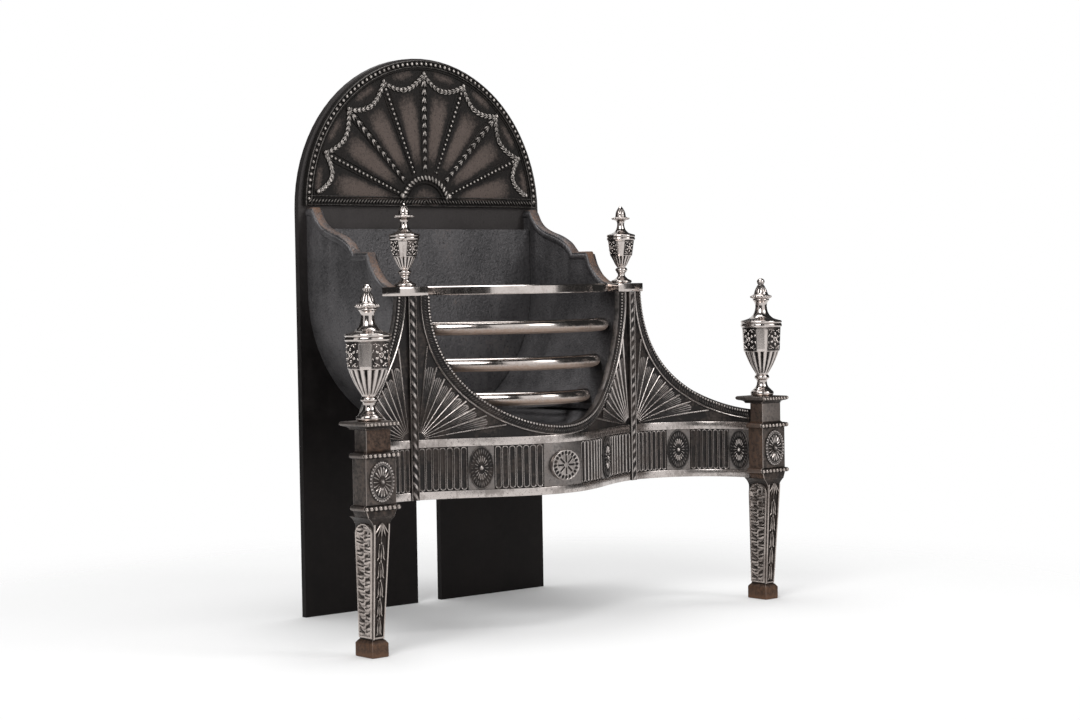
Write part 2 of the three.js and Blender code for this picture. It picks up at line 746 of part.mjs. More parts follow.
/** One side of the basket: a shaped wall, rounded under, with a ledge that carries the grate. */
function cheek(side) {
  const { centre, inner, wall, end, ledge, ledgeHeight } = BASKET;
  const outer = inner + wall;
  const angleAt = (height) => THREE.MathUtils.radToDeg(Math.asin((centre - height) / inner));
  const ledgeTop = GRATE.low - GAP;
  const ledgeLow = ledgeTop - ledgeHeight;
  const ledgeX = inner * Math.cos(THREE.MathUtils.degToRad(angleAt(ledgeTop)));
  const above = 700;
  const section = [
    [outer, above],
    ...arc(0, centre, outer, 0, -end, 18),
    ...arc(0, centre, inner, -end, -angleAt(ledgeLow) - 1, 3),
    [ledgeX - ledge, ledgeLow],
    [ledgeX - ledge, ledgeTop],
    ...arc(0, centre, inner, -angleAt(ledgeTop), 0, 14),
    [inner, above],
  ].map(([x, h]) => [side * x, h]);
  const wallSolid = slab(outline(side > 0 ? section.reverse() : section), GAP, FRONT.crest);
  const profile = sideSlab(cheekProfile(), -400, 400);
  const holes = BOLT.heights.map((h) => {
    return pin(BOLT.shank + GAP, side * CHEEK_MIDDLE, h, GAP - 1, BOLT.intoCheek + 2);
  });
  return cut(common(wallSolid, profile), aheadOfFront(FRONT.thickness + GAP), ...holes);
}

/** Plan points of a bar's centre line or edge: straight, round the bow, straight. */
function bowPoints(bow, offset, endX, steps) {
  const centre = BAR.forward - bow;
  const radius = bow + offset;
  const turn = THREE.MathUtils.degToRad(BAR.turn);
  const side = [];
  const [tx, tf] = [radius * Math.sin(turn), centre + radius * Math.cos(turn)];
  side.push([endX, tf - (endX - tx) * Math.tan(turn)]);
  for (let i = 0; i <= steps; i += 1) {
    const a = turn * (1 - i / steps);
    side.push([radius * Math.sin(a), centre + radius * Math.cos(a)]);
  }
  return [...side, ...side.slice(0, -1).reverse().map(([x, f]) => [-x, f])];
}

/** A round bar bowed forward, its ends let up to the inner walls of the cheeks. */
function roundBar({ height, bow }) {
  const drop = BASKET.centre - height;
  const wallX = Math.sqrt(BASKET.inner ** 2 - drop ** 2);
  const points = bowPoints(bow, 0, wallX + 20, 5).map(([x, f]) => new THREE.Vector3(x, height, f));
  const section = outline(arc(0, 0, BAR.radius, 0, 324, 9));
  const bar = sweep(points, section.getPoints());
  const basket = outline(arc(0, BASKET.centre, BASKET.inner - GAP, 0, 350, 35));
  return common(bar, slab(basket, 0, FRONT.crest + 40));
}

/** Sweeps a closed section along a level path of points, mitred at each point. */
function sweep(points, section) {
  const vertices = [];
  const up = new THREE.Vector3(0, 1, 0);
  const count = section.length;
  points.forEach((point, i) => {
    const before = points[Math.max(0, i - 1)];
    const after = points[Math.min(points.length - 1, i + 1)];
    const a = point.clone().sub(before).normalize();
    const b = after.clone().sub(point).normalize();
    const along = a.clone().add(b).normalize();
    const miter = 1 / Math.max(0.3, along.dot(i === 0 ? b : a));
    const across = new THREE.Vector3().crossVectors(along, up).normalize();
    for (const { x, y } of section) {
      const v = point.clone().addScaledVector(across, x * miter).addScaledVector(up, y);
      vertices.push(v.x, v.y, v.z);
    }
  });
  const faces = [];
  for (let i = 0; i + 1 < points.length; i += 1) {
    for (let k = 0; k < count; k += 1) {
      const [p, q] = [i * count + k, i * count + ((k + 1) % count)];
      faces.push(p, q + count, q, p, p + count, q + count);
    }
  }
  const last = (points.length - 1) * count;
  for (let k = 1; k + 1 < count; k += 1) {
    faces.push(0, k, k + 1);
    faces.push(last, last + k + 1, last + k);
  }
  return meshOf(vertices, faces);
}

/** The flat bar on the basket, bowed like the round bars and ending at the top blocks. */
function topBar() {
  const end = BLOCK.inner - GAP;
  const front = bowPoints(BAR.topBow, BAR.radius, end, 12);
  const rear = bowPoints(BAR.topBow, -BAR.radius, end, 12).reverse();
  return planSlab([...front, ...rear], BLOCK.low + 0.5, BLOCK.high);
}

/** The loose bottom grate: a slotted casting whose front edge follows the bow of the front. */
function bottomGrate() {
  const { low, high, halfWidth, rear, side, bow, bar, pitch, rim } = GRATE;
  const edge = (x) => side + (bow - side) * (1 - (x / halfWidth) ** 2);
  const frontEdge = Array.from({ length: 13 }, (_, i) => {
    const x = -halfWidth + (2 * halfWidth * i) / 12;
    return [x, edge(x)];
  });
  const slots = [];
  for (let x = -halfWidth + rim; x + pitch - bar < halfWidth - rim + 1; x += pitch) {
    const [x0, x1] = [x, x + pitch - bar];
    slots.push([[x0, rear + rim], [x0, edge(x0) - rim], [x1, edge(x1) - rim], [x1, rear + rim]]);
  }
  return planSlab([...frontEdge.reverse(), [-halfWidth, rear], [halfWidth, rear]], low, high, slots);
}

// ---------------------------------------------------------------- legs

/** A leg shaft and its foot in one casting; the front tapers, the back stands upright. */
function legShaft(side) {
  const { at, footWidth, footRear, footFront, footTop, chamfer, flare } = LEG;
  const { neckWidth, neckRear, neckFront, topWidth, topRear, topFront, top, dieWidth } = LEG;
  const spread = (width, rear, front) => [-width / 2, width / 2, rear, front];
  const footEnds = spread(footWidth, footRear, footFront);
  const neckEnds = spread(neckWidth, neckRear, neckFront);
  const topEnds = spread(topWidth, topRear, topFront);
  const shoulder = top - flare;
  const body = join(
    box(-footWidth / 2, footWidth / 2, 0, footTop - chamfer, footRear, footFront),
    taperedBox(footEnds, footTop - chamfer - 0.01, neckEnds, footTop),
    taperedBox(neckEnds, footTop - 1, topEnds, shoulder),
    taperedBox(topEnds, shoulder - 0.01, spread(dieWidth - 6, topRear, topFront), top),
  );
  const share = (h) => (h - footTop) / (shoulder - footTop);
  const half = (h) => neckWidth / 2 + ((topWidth - neckWidth) / 2) * share(h);
  const front = (h) => neckFront + (topFront - neckFront) * share(h);
  const { margin, border, depth, arch } = LEG_PANEL;
  const [low, high] = [footTop + margin, shoulder - arch];
  const outside = 9;
  const frontSpan = (h) => [border - half(h), half(h) - border, front(h) - depth, front(h) + outside];
  const sideSpan = (h) => [half(h) - depth, half(h) + outside, topRear + border, front(h) - border];
  const sideHigh = high - arch;
  const rightPanel = taperedBox(sideSpan(low), low, sideSpan(sideHigh), sideHigh);
  const frontPanel = taperedBox(frontSpan(low), low, frontSpan(high), high);
  return cut(body, frontPanel, rightPanel, mirrored(rightPanel)).translate(side * at, 0, 0);
}

/** The die block between its two mouldings, with the plain block above. */
function legDie(side) {
  const { at, top, dieWidth, dieRear, dieFront, dieLow, dieHigh } = LEG;
  const { beadWidth, beadHeight, beadFront, upperWidth, upperRear, upperFront, upperHigh } = LEG;
  const [halfBead, halfDie, halfUpper] = [beadWidth / 2, dieWidth / 2, upperWidth / 2];
  const beadTop = dieHigh + beadHeight;
  const weathering = 4; // height of the slope from the upper moulding in to the plain block
  const moulding = (low) => box(-halfBead, halfBead, low, low + beadHeight, dieRear, beadFront);
  const parts = [
    box(-halfDie, halfDie, top + GAP, beadTop, dieRear, dieFront),
    moulding(dieLow - beadHeight),
    moulding(dieHigh),
    taperedBox(
      [-halfDie, halfDie, dieRear, dieFront],
      beadTop - 0.1,
      [-halfUpper, halfUpper, upperRear, upperFront],
      beadTop + weathering,
    ),
    box(-halfUpper, halfUpper, beadTop + weathering - 0.1, upperHigh, upperRear, upperFront),
  ];
  const [, z] = URN_SEATS.lower(1);
  const socket = studHole(0, z, LEG.capHigh - STUD.belowLower - 2, upperHigh + 1);
  return cut(join(...parts), socket).translate(side * at, 0, 0);
}

/** The cap that carries a lower urn, coved in to the block under it. */
function legCap(side) {
  const { at, capWidth, capRear, capFront, capLow, capCove, capHigh } = LEG;
  const { upperWidth, upperRear, upperFront } = LEG;
  const half = capWidth / 2;
  const cove = taperedBox(
    [-upperWidth / 2, upperWidth / 2, upperRear - 14, upperFront],
    capLow,
    [-half, half, capRear, capFront],
    capLow + capCove,
  );
  const tablet = box(-half, half, capLow + capCove - 0.1, capHigh, capRear, capFront);
  const [, z] = URN_SEATS.lower(1);
  const socket = studHole(0, z, capLow - 1, capHigh + 1);
  return cut(join(cove, tablet), socket).translate(side * at, 0, 0);
}

/** The upright oval patera on the front of a die. */
function legPatera(side) {
  const { at, dieFront, dieLow, dieHigh } = LEG;
  const oval = boss(LEG_PATERA.halfWidth, LEG_PATERA.halfHeight, LEG_PATERA_RINGS, 22);
  return oval.translate(side * at, (dieLow + dieHigh) / 2, dieFront + GAP);
}

// ---------------------------------------------------------------- urns

const URN_SEATS = {
  upper: (side) => [side * ((BLOCK.inner + BLOCK.outer) / 2), (BLOCK.rear + BLOCK.front) / 2],
  lower: (side) => [side * LEG.at, (LEG.capRear + LEG.capFront) / 2],
};

function studHole(x, z, low, high) {
  return rod(STUD.radius + GAP, low, high).translate(x, 0, z);
}

/** Turns a profile into a solid; the depth of the flutes, if any, fades in and out along it. */
function turned(profile, low, high, sides, flutes = null) {
  const points = [[0, low], ...profile, [0, high]].map(([r, h]) => new THREE.Vector2(r, h));
  const lathe = weld(new THREE.LatheGeometry(points, sides));
  if (!flutes) return lathe;
  const position = lathe.attributes.position;
  for (let i = 0; i < position.count; i += 1) {
    const [x, h, z] = [position.getX(i), position.getY(i), position.getZ(i)];
    const t = (h - flutes.low) / (flutes.high - flutes.low);
    const fade = t > 0 && t < 1 ? Math.min(1, 6 * t, 12 * (1 - t) + 0.5) : 0;
    const swell = 1 + flutes.depth * fade * Math.cos(flutes.count * Math.atan2(z, x));
    position.setXYZ(i, x * swell, h, z * swell);
  }
  return lathe;
}

/** The foot, body, lid and screwed stud of one urn, by name. */
function urnPieces(kind, side) {
  const { foot, bowl, frieze, lid, tip } = URNS[kind];
  const [x, z] = URN_SEATS[kind](side);
  const seat = (kind === 'upper' ? BLOCK.high : LEG.capHigh) + GAP;
  const bowlLow = bowl[0][1] + GAP;
  const bodyProfile = [[bowl[0][0], bowlLow], ...bowl.slice(1), ...frieze];
  const bodyHigh = frieze[frieze.length - 1][1];
  const flutes = { low: bowlLow, high: bowl[bowl.length - 1][1] + 1, count: 12, depth: 0.045 };
  const lidProfile = [[lid[0][0], bodyHigh + GAP], ...lid.slice(1)];
  const footSolid = turned(foot, foot[0][1], foot[foot.length - 1][1], 14);
  const solids = {
    foot: cut(footSolid, studHole(0, 0, -1, STUD.above + 0.5)),
    body: turned(bodyProfile, bowlLow, bodyHigh, 24, flutes),
    lid: turned(lidProfile, bodyHigh + GAP, tip, 14),
    stud: rod(STUD.radius, -(kind === 'upper' ? STUD.belowUpper : STUD.belowLower), STUD.above),
  };
  return Object.entries(solids).map(([piece, geometry]) => {
    return [piece, geometry.translate(x, seat, z)];
  });
}

// ---------------------------------------------------------------- assembly

const grate = new THREE.Group();
const standing = new THREE.Group();
standing.rotation.x = Math.PI / 2;
standing.position.y = PLATE_Y;
grate.add(standing);

function place(name, geometry, material) {
  geometry.computeVertexNormals();
  const mesh = new THREE.Mesh(geometry, material);
  mesh.name = name;
  standing.add(mesh);
}

place('back_plate', backPlate(), BLACK_IRON);
place('fan_panel', fanPanel(), FAN_IRON);
place('firebox_liner', fireboxLiner(), FIRED_IRON);
place('front_panel_center', frontCenter(), PEWTER);
place('center_medallion', centerMedallion(), PEWTER);
place('top_bar', topBar(), BRIGHT_STEEL);
for (const bar of BARS) place(bar.name, roundBar(bar), BRIGHT_STEEL);
place('bottom_grate', bottomGrate(), FIRED_IRON);
BOLT_PLACES.forEach(([x, h], i) => place(`plate_bolt_${i + 1}`, plateBolt(x, h), BLACK_IRON));

for (const [label, side] of [['left', -1], ['right', 1]]) {
  place(`cheek_${label}`, cheek(side), FIRED_IRON);
  place(`front_wing_${label}`, frontWing(side), PEWTER);
  place(`rope_strip_${label}`, ropeStrip(side), PEWTER);
  place(`top_block_${label}`, topBlock(side), BRIGHT_STEEL);
  place(`inner_patera_${label}`, friezePatera(side * OVAL_S.inner), PEWTER);
  place(`outer_patera_${label}`, friezePatera(side * OVAL_S.outer), PEWTER);
  place(`end_patera_${label}`, friezePatera(side * OVAL_S.end), PEWTER);
  place(`leg_shaft_${label}`, legShaft(side), PATINA);
  place(`leg_die_${label}`, legDie(side), PATINA);
  place(`leg_cap_${label}`, legCap(side), PATINA);
  place(`leg_patera_${label}`, legPatera(side), PEWTER);
  for (const kind of ['upper', 'lower']) {
    for (const [piece, geometry] of urnPieces(kind, side)) {
      place(`${kind}_urn_${piece}_${label}`, geometry, BRIGHT_STEEL);
    }
  }
}

export default grate;
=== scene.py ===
"""Looks of a serpentine-fronted fire grate in cast iron and polished steel.

Relief is modelled flat, as length along a face, height, and depth in front of it, in millimetres.
A warp then carries it on to the face: the serpentine front, a tapered leg or the round of an urn.
Between the two lies elevation space, whose axes are x to the right, height, and the distance in
front of the back plate. Each vertex carries how rubbed it is (polish) and how stained it is
(rub), and the finishes read both. On the round fire bars the two also carry painted light: a
painted highlight along the upper front, painted shade underneath and a painted reflection of the
floor.
"""

from __future__ import annotations

import logging
import math
from collections.abc import Callable, Sequence
from dataclasses import dataclass, field
from enum import Enum

import bmesh
import bpy
import numpy as np
from mathutils import Matrix, Vector

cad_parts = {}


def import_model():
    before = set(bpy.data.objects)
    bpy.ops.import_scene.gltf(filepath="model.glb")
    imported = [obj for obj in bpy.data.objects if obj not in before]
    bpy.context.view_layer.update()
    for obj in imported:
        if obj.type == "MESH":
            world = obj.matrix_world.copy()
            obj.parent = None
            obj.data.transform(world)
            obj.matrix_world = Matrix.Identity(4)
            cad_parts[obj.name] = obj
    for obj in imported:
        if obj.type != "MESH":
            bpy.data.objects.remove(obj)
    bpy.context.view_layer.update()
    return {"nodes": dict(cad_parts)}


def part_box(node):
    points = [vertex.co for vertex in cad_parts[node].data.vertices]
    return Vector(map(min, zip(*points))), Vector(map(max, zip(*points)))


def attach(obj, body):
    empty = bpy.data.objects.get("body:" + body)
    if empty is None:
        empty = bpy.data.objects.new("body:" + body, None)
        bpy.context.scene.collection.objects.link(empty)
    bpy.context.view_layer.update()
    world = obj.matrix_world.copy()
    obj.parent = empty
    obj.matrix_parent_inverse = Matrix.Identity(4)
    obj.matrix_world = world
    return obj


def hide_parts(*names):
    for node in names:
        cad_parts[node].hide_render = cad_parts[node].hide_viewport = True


LOG = logging.getLogger("grate")
MM = 0.001  # metres in a millimetre
GAP = 0.3  # millimetres between two pieces that meet
ROOT = 0.8  # millimetres that relief reaches into what it stands on
SHARP_EDGE = 38.0  # degrees above which an edge isn't shaded smooth
FRAME_BODY = "hearth_frame"
RELIEF_DEPTH = 0.0012  # metres that a finish's fine relief stands for

Warp = Callable[[np.ndarray], np.ndarray]
Colour = tuple[float, float, float]


class Side(Enum):
    """The two halves of the grate, with the sign of their x."""

    LEFT = -1
    RIGHT = 1

    @property
    def label(self) -> str:
        """Returns the word for this side in the names of pieces."""
        return self.name.lower()


class Slot(Enum):
    """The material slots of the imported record."""

    PLATE = "plate_iron"
    FAN = "fan_iron"
    FIRED = "fired_iron"
    FRONT = "front_steel"
    BRIGHT = "bright_steel"
    LEG = "leg_patina"


# ---------------------------------------------------------------- shader expressions


class Tone:
    """A value or a colour that varies over a surface, as an output of a node."""

    def __init__(self, shader: Shader, socket: bpy.types.NodeSocket) -> None:
        """Wraps a socket.

        Args:
            shader: the material's node tree that the socket is in.
            socket: the output that carries the value.
        """
        self.shader = shader
        self.socket = socket

    def _math(self, operation: str, first: Tone | float, second: Tone | float) -> Tone:
        """Adds one Math node.

        Args:
            operation: the Math node's operation.
            first: its first operand.
            second: its second operand.

        Returns:
            The node's result.
        """
        return self.shader.node("ShaderNodeMath", {"operation": operation}, {0: first, 1: second})

    def __add__(self, other: Tone | float) -> Tone:
        """Returns self + other."""
        return self._math("ADD", self, other)

    __radd__ = __add__

    def __sub__(self, other: Tone | float) -> Tone:
        """Returns self - other."""
        return self._math("SUBTRACT", self, other)

    def __rsub__(self, other: Tone | float) -> Tone:
        """Returns other - self."""
        return self._math("SUBTRACT", other, self)

    def __mul__(self, other: Tone | float) -> Tone:
        """Returns self * other."""
        return self._math("MULTIPLY", self, other)

    __rmul__ = __mul__

    def over(self, low: float, high: float) -> Tone:
        """Returns 0 where self is under low, 1 where it is over high, and a smooth step between.

        Args:
            low: the value that becomes 0.
            high: the value that becomes 1.

        Returns:
            The stepped value.
        """
        settings = {"interpolation_type": "SMOOTHSTEP"}
        return self.shader.node(
            "ShaderNodeMapRange", settings, {"Value": self, "From Min": low, "From Max": high}
        )


class Shader:
    """The node tree of one material or world, built by expressions."""

    def __init__(self, tree: bpy.types.NodeTree) -> None:
        """Clears a node tree and takes it over.

        Args:
            tree: the tree to build in.
        """
        self.tree = tree
        tree.nodes.clear()

    def node(
        self,
        kind: str,
        settings: dict | None = None,
        inputs: dict | None = None,
        output: int | str = 0,
    ) -> Tone:
        """Adds any node.

        Args:
            kind: the node's type.
            settings: its properties, which are set first.
            inputs: its sockets' values or links, by name or number.
            output: the name or number of the output to give back.

        Returns:
            The chosen output.
        """
        made = self.tree.nodes.new(kind)
        for key, value in (settings or {}).items():
            setattr(made, key, value)
        for key, value in (inputs or {}).items():
            socket = made.inputs[key]
            if isinstance(value, Tone):
                self.tree.links.new(value.socket, socket)
            else:
                socket.default_value = value
        return Tone(self, made.outputs[output]) if len(made.outputs) else Tone(self, None)

    def attribute(self, name: str) -> Tone:
        """Returns a number stored on the mesh's vertices, by its name."""
        return self.node("ShaderNodeAttribute", {"attribute_name": name}, output="Fac")

    def noise(self, size_mm: float, detail: float, stretch: Sequence[float] = (1, 1, 1)) -> Tone:
        """Adds cloudy noise in the object's own frame.

        Args:
            size_mm: about how large its blotches are.
            detail: how many finer layers it has.
            stretch: how it is squeezed along each axis.

        Returns:
            A value from about 0.2 to 0.8.
        """
        place = self.node("ShaderNodeTexCoord", output="Object")
        placed = self.node("ShaderNodeMapping", inputs={"Vector": place, "Scale": tuple(stretch)})
        scale = 1 / (size_mm * MM)
        inputs = {"Vector": placed, "Scale": scale, "Detail": detail, "Roughness": 0.6}
        return self.node("ShaderNodeTexNoise", inputs=inputs)

    def blend(self, factor: Tone | float, first: Tone | Colour, second: Tone | Colour) -> Tone:
        """Mixes two colours.

        Args:
            factor: 0 for the first colour, 1 for the second.
            first: the colour at 0.
            second: the colour at 1.

        Returns:
            The mixed colour.
        """
        ends = [c if isinstance(c, Tone) else (*c, 1.0) for c in (first, second)]
        settings = {"data_type": "RGBA", "clamp_factor": True}
        return self.node("ShaderNodeMix", settings, {0: factor, 6: ends[0], 7: ends[1]}, 2)

    @classmethod
    def material(cls, name: str) -> tuple[bpy.types.Material, Shader]:
        """Makes a material with an empty node tree.

        Args:
            name: the material's name.

        Returns:
            The material and its tree.
        """
        made = bpy.data.materials.new(name)
        made.use_nodes = True
        return made, cls(made.node_tree)

    def surface(self, seen: Tone) -> None:
        """Makes a shader node the surface of the material."""
        self.node("ShaderNodeOutputMaterial", inputs={"Surface": seen})

    def metal(self, colour: Tone, rough: Tone, metallic: Tone, relief: Tone, bump: float) -> None:
        """Makes the surface a metal with fine relief.

        Args:
            colour: its base colour.
            rough: its roughness.
            metallic: how much of it is bare metal.
            relief: the height of its surface.
            bump: how strongly the relief shows.
        """
        inputs = {"Strength": bump, "Distance": RELIEF_DEPTH, "Height": relief}
        normal = self.node("ShaderNodeBump", inputs=inputs)
        inputs = {"Base Color": colour, "Roughness": rough, "Metallic": metallic}
        inputs["Normal"] = normal
        self.surface(self.node("ShaderNodeBsdfPrincipled", inputs=inputs))


# ---------------------------------------------------------------- finishes


@dataclass(frozen=True)
class WornMetal:
    """Metal that is dark in its recesses and rubbed bright on its high places.

    Colours are linear. Sizes are millimetres.
    """

    name: str
    slot: Slot
    recess: Colour
    high: Colour
    stain: Colour
    rubbed: Colour
    recess_rough: float
    high_rough: float
    stain_share: float
    wear_from: float
    wear_to: float
    grain: float
    pit: float
    recess_metal: float = 0.7
    cloud_mm: float = 46.0
    fine_mm: float = 5.5
    streak_mm: float = 9.0
    grain_mm: float = 1.6
    pit_mm: float = 3.2

    def build(self) -> bpy.types.Material:
        """Makes the material.

        Returns:
            The finished material.
        """
        material, shader = Shader.material(self.name)
        cloud = shader.noise(self.cloud_mm, 4)
        fine = shader.noise(self.fine_mm, 4)
        grain = shader.noise(self.grain_mm, 3)
        streak = shader.noise(self.streak_mm, 3, (1, 1, 0.12))
        pits = shader.noise(self.pit_mm, 3).over(0.57, 0.7)
        wear = shader.attribute("polish") + (fine - 0.5) * 0.55 + (cloud - 0.5) * 0.35
        wear = wear.over(self.wear_from, self.wear_to)
        colour = shader.blend(wear, self.recess, self.high)
        blotch = (cloud + (fine - 0.5) * 0.6).over(0.44, 0.66) * self.stain_share
        colour = shader.blend(blotch, colour, self.stain)
        rub = shader.attribute("rub") + (fine - 0.5) * 0.7 + (grain - 0.5) * 0.5
        rub = rub.over(0.25, 0.95)
        colour = shader.blend(rub, colour, self.rubbed)
        colour = shader.blend(pits * self.pit * 1.6, colour, self.recess)
        rough = self.high_rough + (1 - wear) * (self.recess_rough - self.high_rough)
        rough = rough + (streak - 0.5) * 0.22 + blotch * 0.12 + rub * 0.2
        height = grain * (1.2 - wear) * self.grain + fine * self.pit * (1 - wear * 0.8)
        metal = self.recess_metal + wear * (1 - self.recess_metal) - rub * 0.3
        shader.metal(colour, rough, metal, height, 0.6)
        return material


@dataclass(frozen=True)
class FiredIron:
    """Matt cast iron, sandy from its mould and greyed by fire, with rust where polish is set."""

    name: str
    slot: Slot
    dark: Colour
    light: Colour
    rust: Colour
    rough: float
    sand_mm: float
    sand: float
    speck: float
    blotch_mm: float = 70.0
    smear_mm: float = 22.0
    speck_mm: float = 4.5
    # painted light: upper is a lighter colour that the top of the casting turns to, as if lit from
    # above
    upper: Colour | None = None

    def build(self) -> bpy.types.Material:
        """Makes the material.

        Returns:
            The finished material.
        """
        material, shader = Shader.material(self.name)
        cloud = shader.noise(self.blotch_mm, 5)
        sand = shader.noise(self.sand_mm, 4)
        smear = shader.noise(self.smear_mm, 4, (1, 1, 0.18))
        specks = shader.noise(self.speck_mm, 3).over(0.58, 0.7)
        patches = (cloud * 0.6 + smear * 0.4).over(0.36, 0.66)
        colour = shader.blend(patches, self.dark, self.light)
        # painted light: the colour turns towards upper as the height rises, a painted lit top
        if self.upper:
            place = shader.node("ShaderNodeTexCoord", output="Object")
            height = shader.node("ShaderNodeSeparateXYZ", inputs={0: place}, output="Z")
            above = (height + (cloud - 0.5) * 0.3).over(0.3, 0.72)
            colour = shader.blend(above, colour, self.upper)
        grit = (sand - 0.5) * 1.4 + 0.5
        sandy = tuple(c * 1.8 for c in self.light)
        colour = shader.blend(grit * self.speck * 0.45, colour, sandy)
        colour = shader.blend(specks * self.speck * 0.6, colour, self.dark)
        rusty = shader.attribute("polish")
        rust = (rusty + (cloud - 0.5) * 1.1 + (sand - 0.5) * 0.7).over(0.35, 0.95)
        rust = rust * rusty.over(0.02, 0.2)
        colour = shader.blend(rust, colour, self.rust)
        rough = self.rough + (smear - 0.5) * 0.3 + (cloud - 0.5) * 0.2 + rust * 0.1
        height = sand * self.sand + cloud * 2.0
        shader.metal(colour, rough, 0.75 - rust * 0.6, height, 0.5)
        return material


# the back plate's upper colour is painted light: its head is made lighter, as lit from above
PLATE_IRON = FiredIron(
    "satin_black_iron", Slot.PLATE, dark=(0.0065, 0.0052, 0.005), light=(0.012, 0.0095, 0.009),
    rust=(0.06, 0.035, 0.022), rough=0.5, sand_mm=3.4, sand=0.35, speck=0.25,
    upper=(0.062, 0.056, 0.055),
)
FIRE_IRON = FiredIron(
    "fired_grey_iron", Slot.FIRED, dark=(0.044, 0.043, 0.045), light=(0.12, 0.115, 0.118),
    rust=(0.16, 0.075, 0.034), rough=0.52, sand_mm=4.2, sand=2.4, speck=1.3,
)
FAN_IRON = WornMetal(
    "rubbed_relief_iron", Slot.FAN, recess=(0.016, 0.014, 0.013), high=(0.5, 0.46, 0.43),
    stain=(0.022, 0.017, 0.015), rubbed=(0.13, 0.1, 0.087), recess_rough=0.5, high_rough=0.26,
    stain_share=0.5, wear_from=0.4, wear_to=1.0, grain_mm=2.6, grain=1.0, pit=0.55,
)
FRONT_STEEL = WornMetal(
    "worn_pewter_steel", Slot.FRONT, recess=(0.02, 0.018, 0.0175), high=(0.55, 0.5, 0.475),
    stain=(0.09, 0.07, 0.06), rubbed=(0.13, 0.092, 0.068), recess_rough=0.48, high_rough=0.25,
    stain_share=0.45, wear_from=0.15, wear_to=1.05, grain_mm=1.8, grain=0.5, pit=0.35,
)
# on the fire bars the rubbed colour is a painted reflection of the pale floor, laid along their
# lower halves
BRIGHT_STEEL = WornMetal(
    "polished_steel", Slot.BRIGHT, recess=(0.03, 0.027, 0.026), high=(0.6, 0.545, 0.515),
    stain=(0.3, 0.25, 0.23), rubbed=(0.3, 0.22, 0.175), recess_rough=0.35, high_rough=0.14,
    stain_share=0.3, wear_from=0.05, wear_to=0.8, grain=0.06, pit=0.02, recess_metal=0.9,
)
LEG_PATINA = WornMetal(
    "brown_patina_steel", Slot.LEG, recess=(0.022, 0.017, 0.015), high=(0.5, 0.44, 0.405),
    stain=(0.055, 0.036, 0.027), rubbed=(0.15, 0.077, 0.043), recess_rough=0.45, high_rough=0.26,
    stain_share=0.4, wear_from=0.2, wear_to=1.05, grain=0.35, pit=0.2,
)


# ---------------------------------------------------------------- modelling in relief


def columns(*parts: np.ndarray | Sequence | float) -> np.ndarray:
    """Returns coordinates side by side, each of them one number for all points or an array."""
    return np.stack(np.broadcast_arrays(*parts), -1)


def ellipsoid(rings: int, sides: int) -> tuple[np.ndarray, list[tuple[int, ...]]]:
    """Makes a unit sphere with its poles on the first axis and its underside flattened.

    Args:
        rings: rings of points between the poles.
        sides: points in each ring.

    Returns:
        Its points and its faces.
    """
    points = [(-1.0, 0.0, 0.0)]
    for i in range(1, rings + 1):
        a = math.pi * i / (rings + 1)
        for k in range(sides):
            b = 2 * math.pi * k / sides
            points.append((-math.cos(a), math.sin(a) * math.cos(b), math.sin(a) * math.sin(b)))
    points.append((1.0, 0.0, 0.0))
    last = len(points) - 1
    faces: list[tuple[int, ...]] = []
    for k in range(sides):
        n = (k + 1) % sides
        faces.append((0, 1 + k, 1 + n))
        faces.append((last, last - sides + n, last - sides + k))
        for i in range(rings - 1):
            a, b = 1 + i * sides + k, 1 + i * sides + n
            faces.append((a, a + sides, b + sides, b))
    shape = np.array(points)
    shape[:, 2] = np.maximum(shape[:, 2], -0.35)
    return shape, faces


BEAD_SHAPE = ellipsoid(5, 10)


def ridge(
    width: float, height: float, high: float, low: float, base: float = 0.0
) -> np.ndarray:
    """Draws the half-round section of a raised line.

    Args:
        width: its width.
        height: how far it stands up.
        high: the polish of its crest.
        low: the polish of its foot.
        base: the depth that it stands on.

    Returns:
        Rows of offset, depth and polish.
    """
    a = np.linspace(math.pi, 0, 7)
    arc = columns(
        np.cos(a) * width / 2, base + np.sin(a) * height, low + (high - low) * np.sin(a)
    )
    sunk = base - ROOT
    return np.vstack([[-width / 2, sunk, low], arc, [width / 2, sunk, low]])


def flat_bar(inner: float, outer: float, height: float, high: float, low: float) -> np.ndarray:
    """Draws the section of a flat raised band with softened edges.

    Args:
        inner: the offset of its first edge.
        outer: the offset of its second edge.
        height: how far it stands up.
        high: the polish of its edges and face.
        low: the polish of its foot.

    Returns:
        Rows of offset, depth and polish.
    """
    soft = min(0.9, height / 2, (outer - inner) / 4)
    edge = [
        (0.0, -ROOT, low), (0.0, height - soft, (high + low) / 2),
        (soft * 0.3, height - soft * 0.3, high), (soft, height, high),
    ]
    return np.array(
        [(inner + i, d, p) for i, d, p in edge] + [(outer - i, d, p) for i, d, p in edge[::-1]]
    )


def circle(
    cx: float, cy: float, radius: float, start: float, end: float, steps: int
) -> np.ndarray:
    """Lays points on an arc.

    Args:
        cx: first coordinate of the centre.
        cy: second coordinate of the centre.
        radius: the radius.
        start: first angle in degrees.
        end: last angle in degrees.
        steps: how many steps the arc has.

    Returns:
        The points, both ends included.
    """
    a = np.radians(np.linspace(start, end, steps + 1))
    return columns(cx + radius * np.cos(a), cy + radius * np.sin(a))


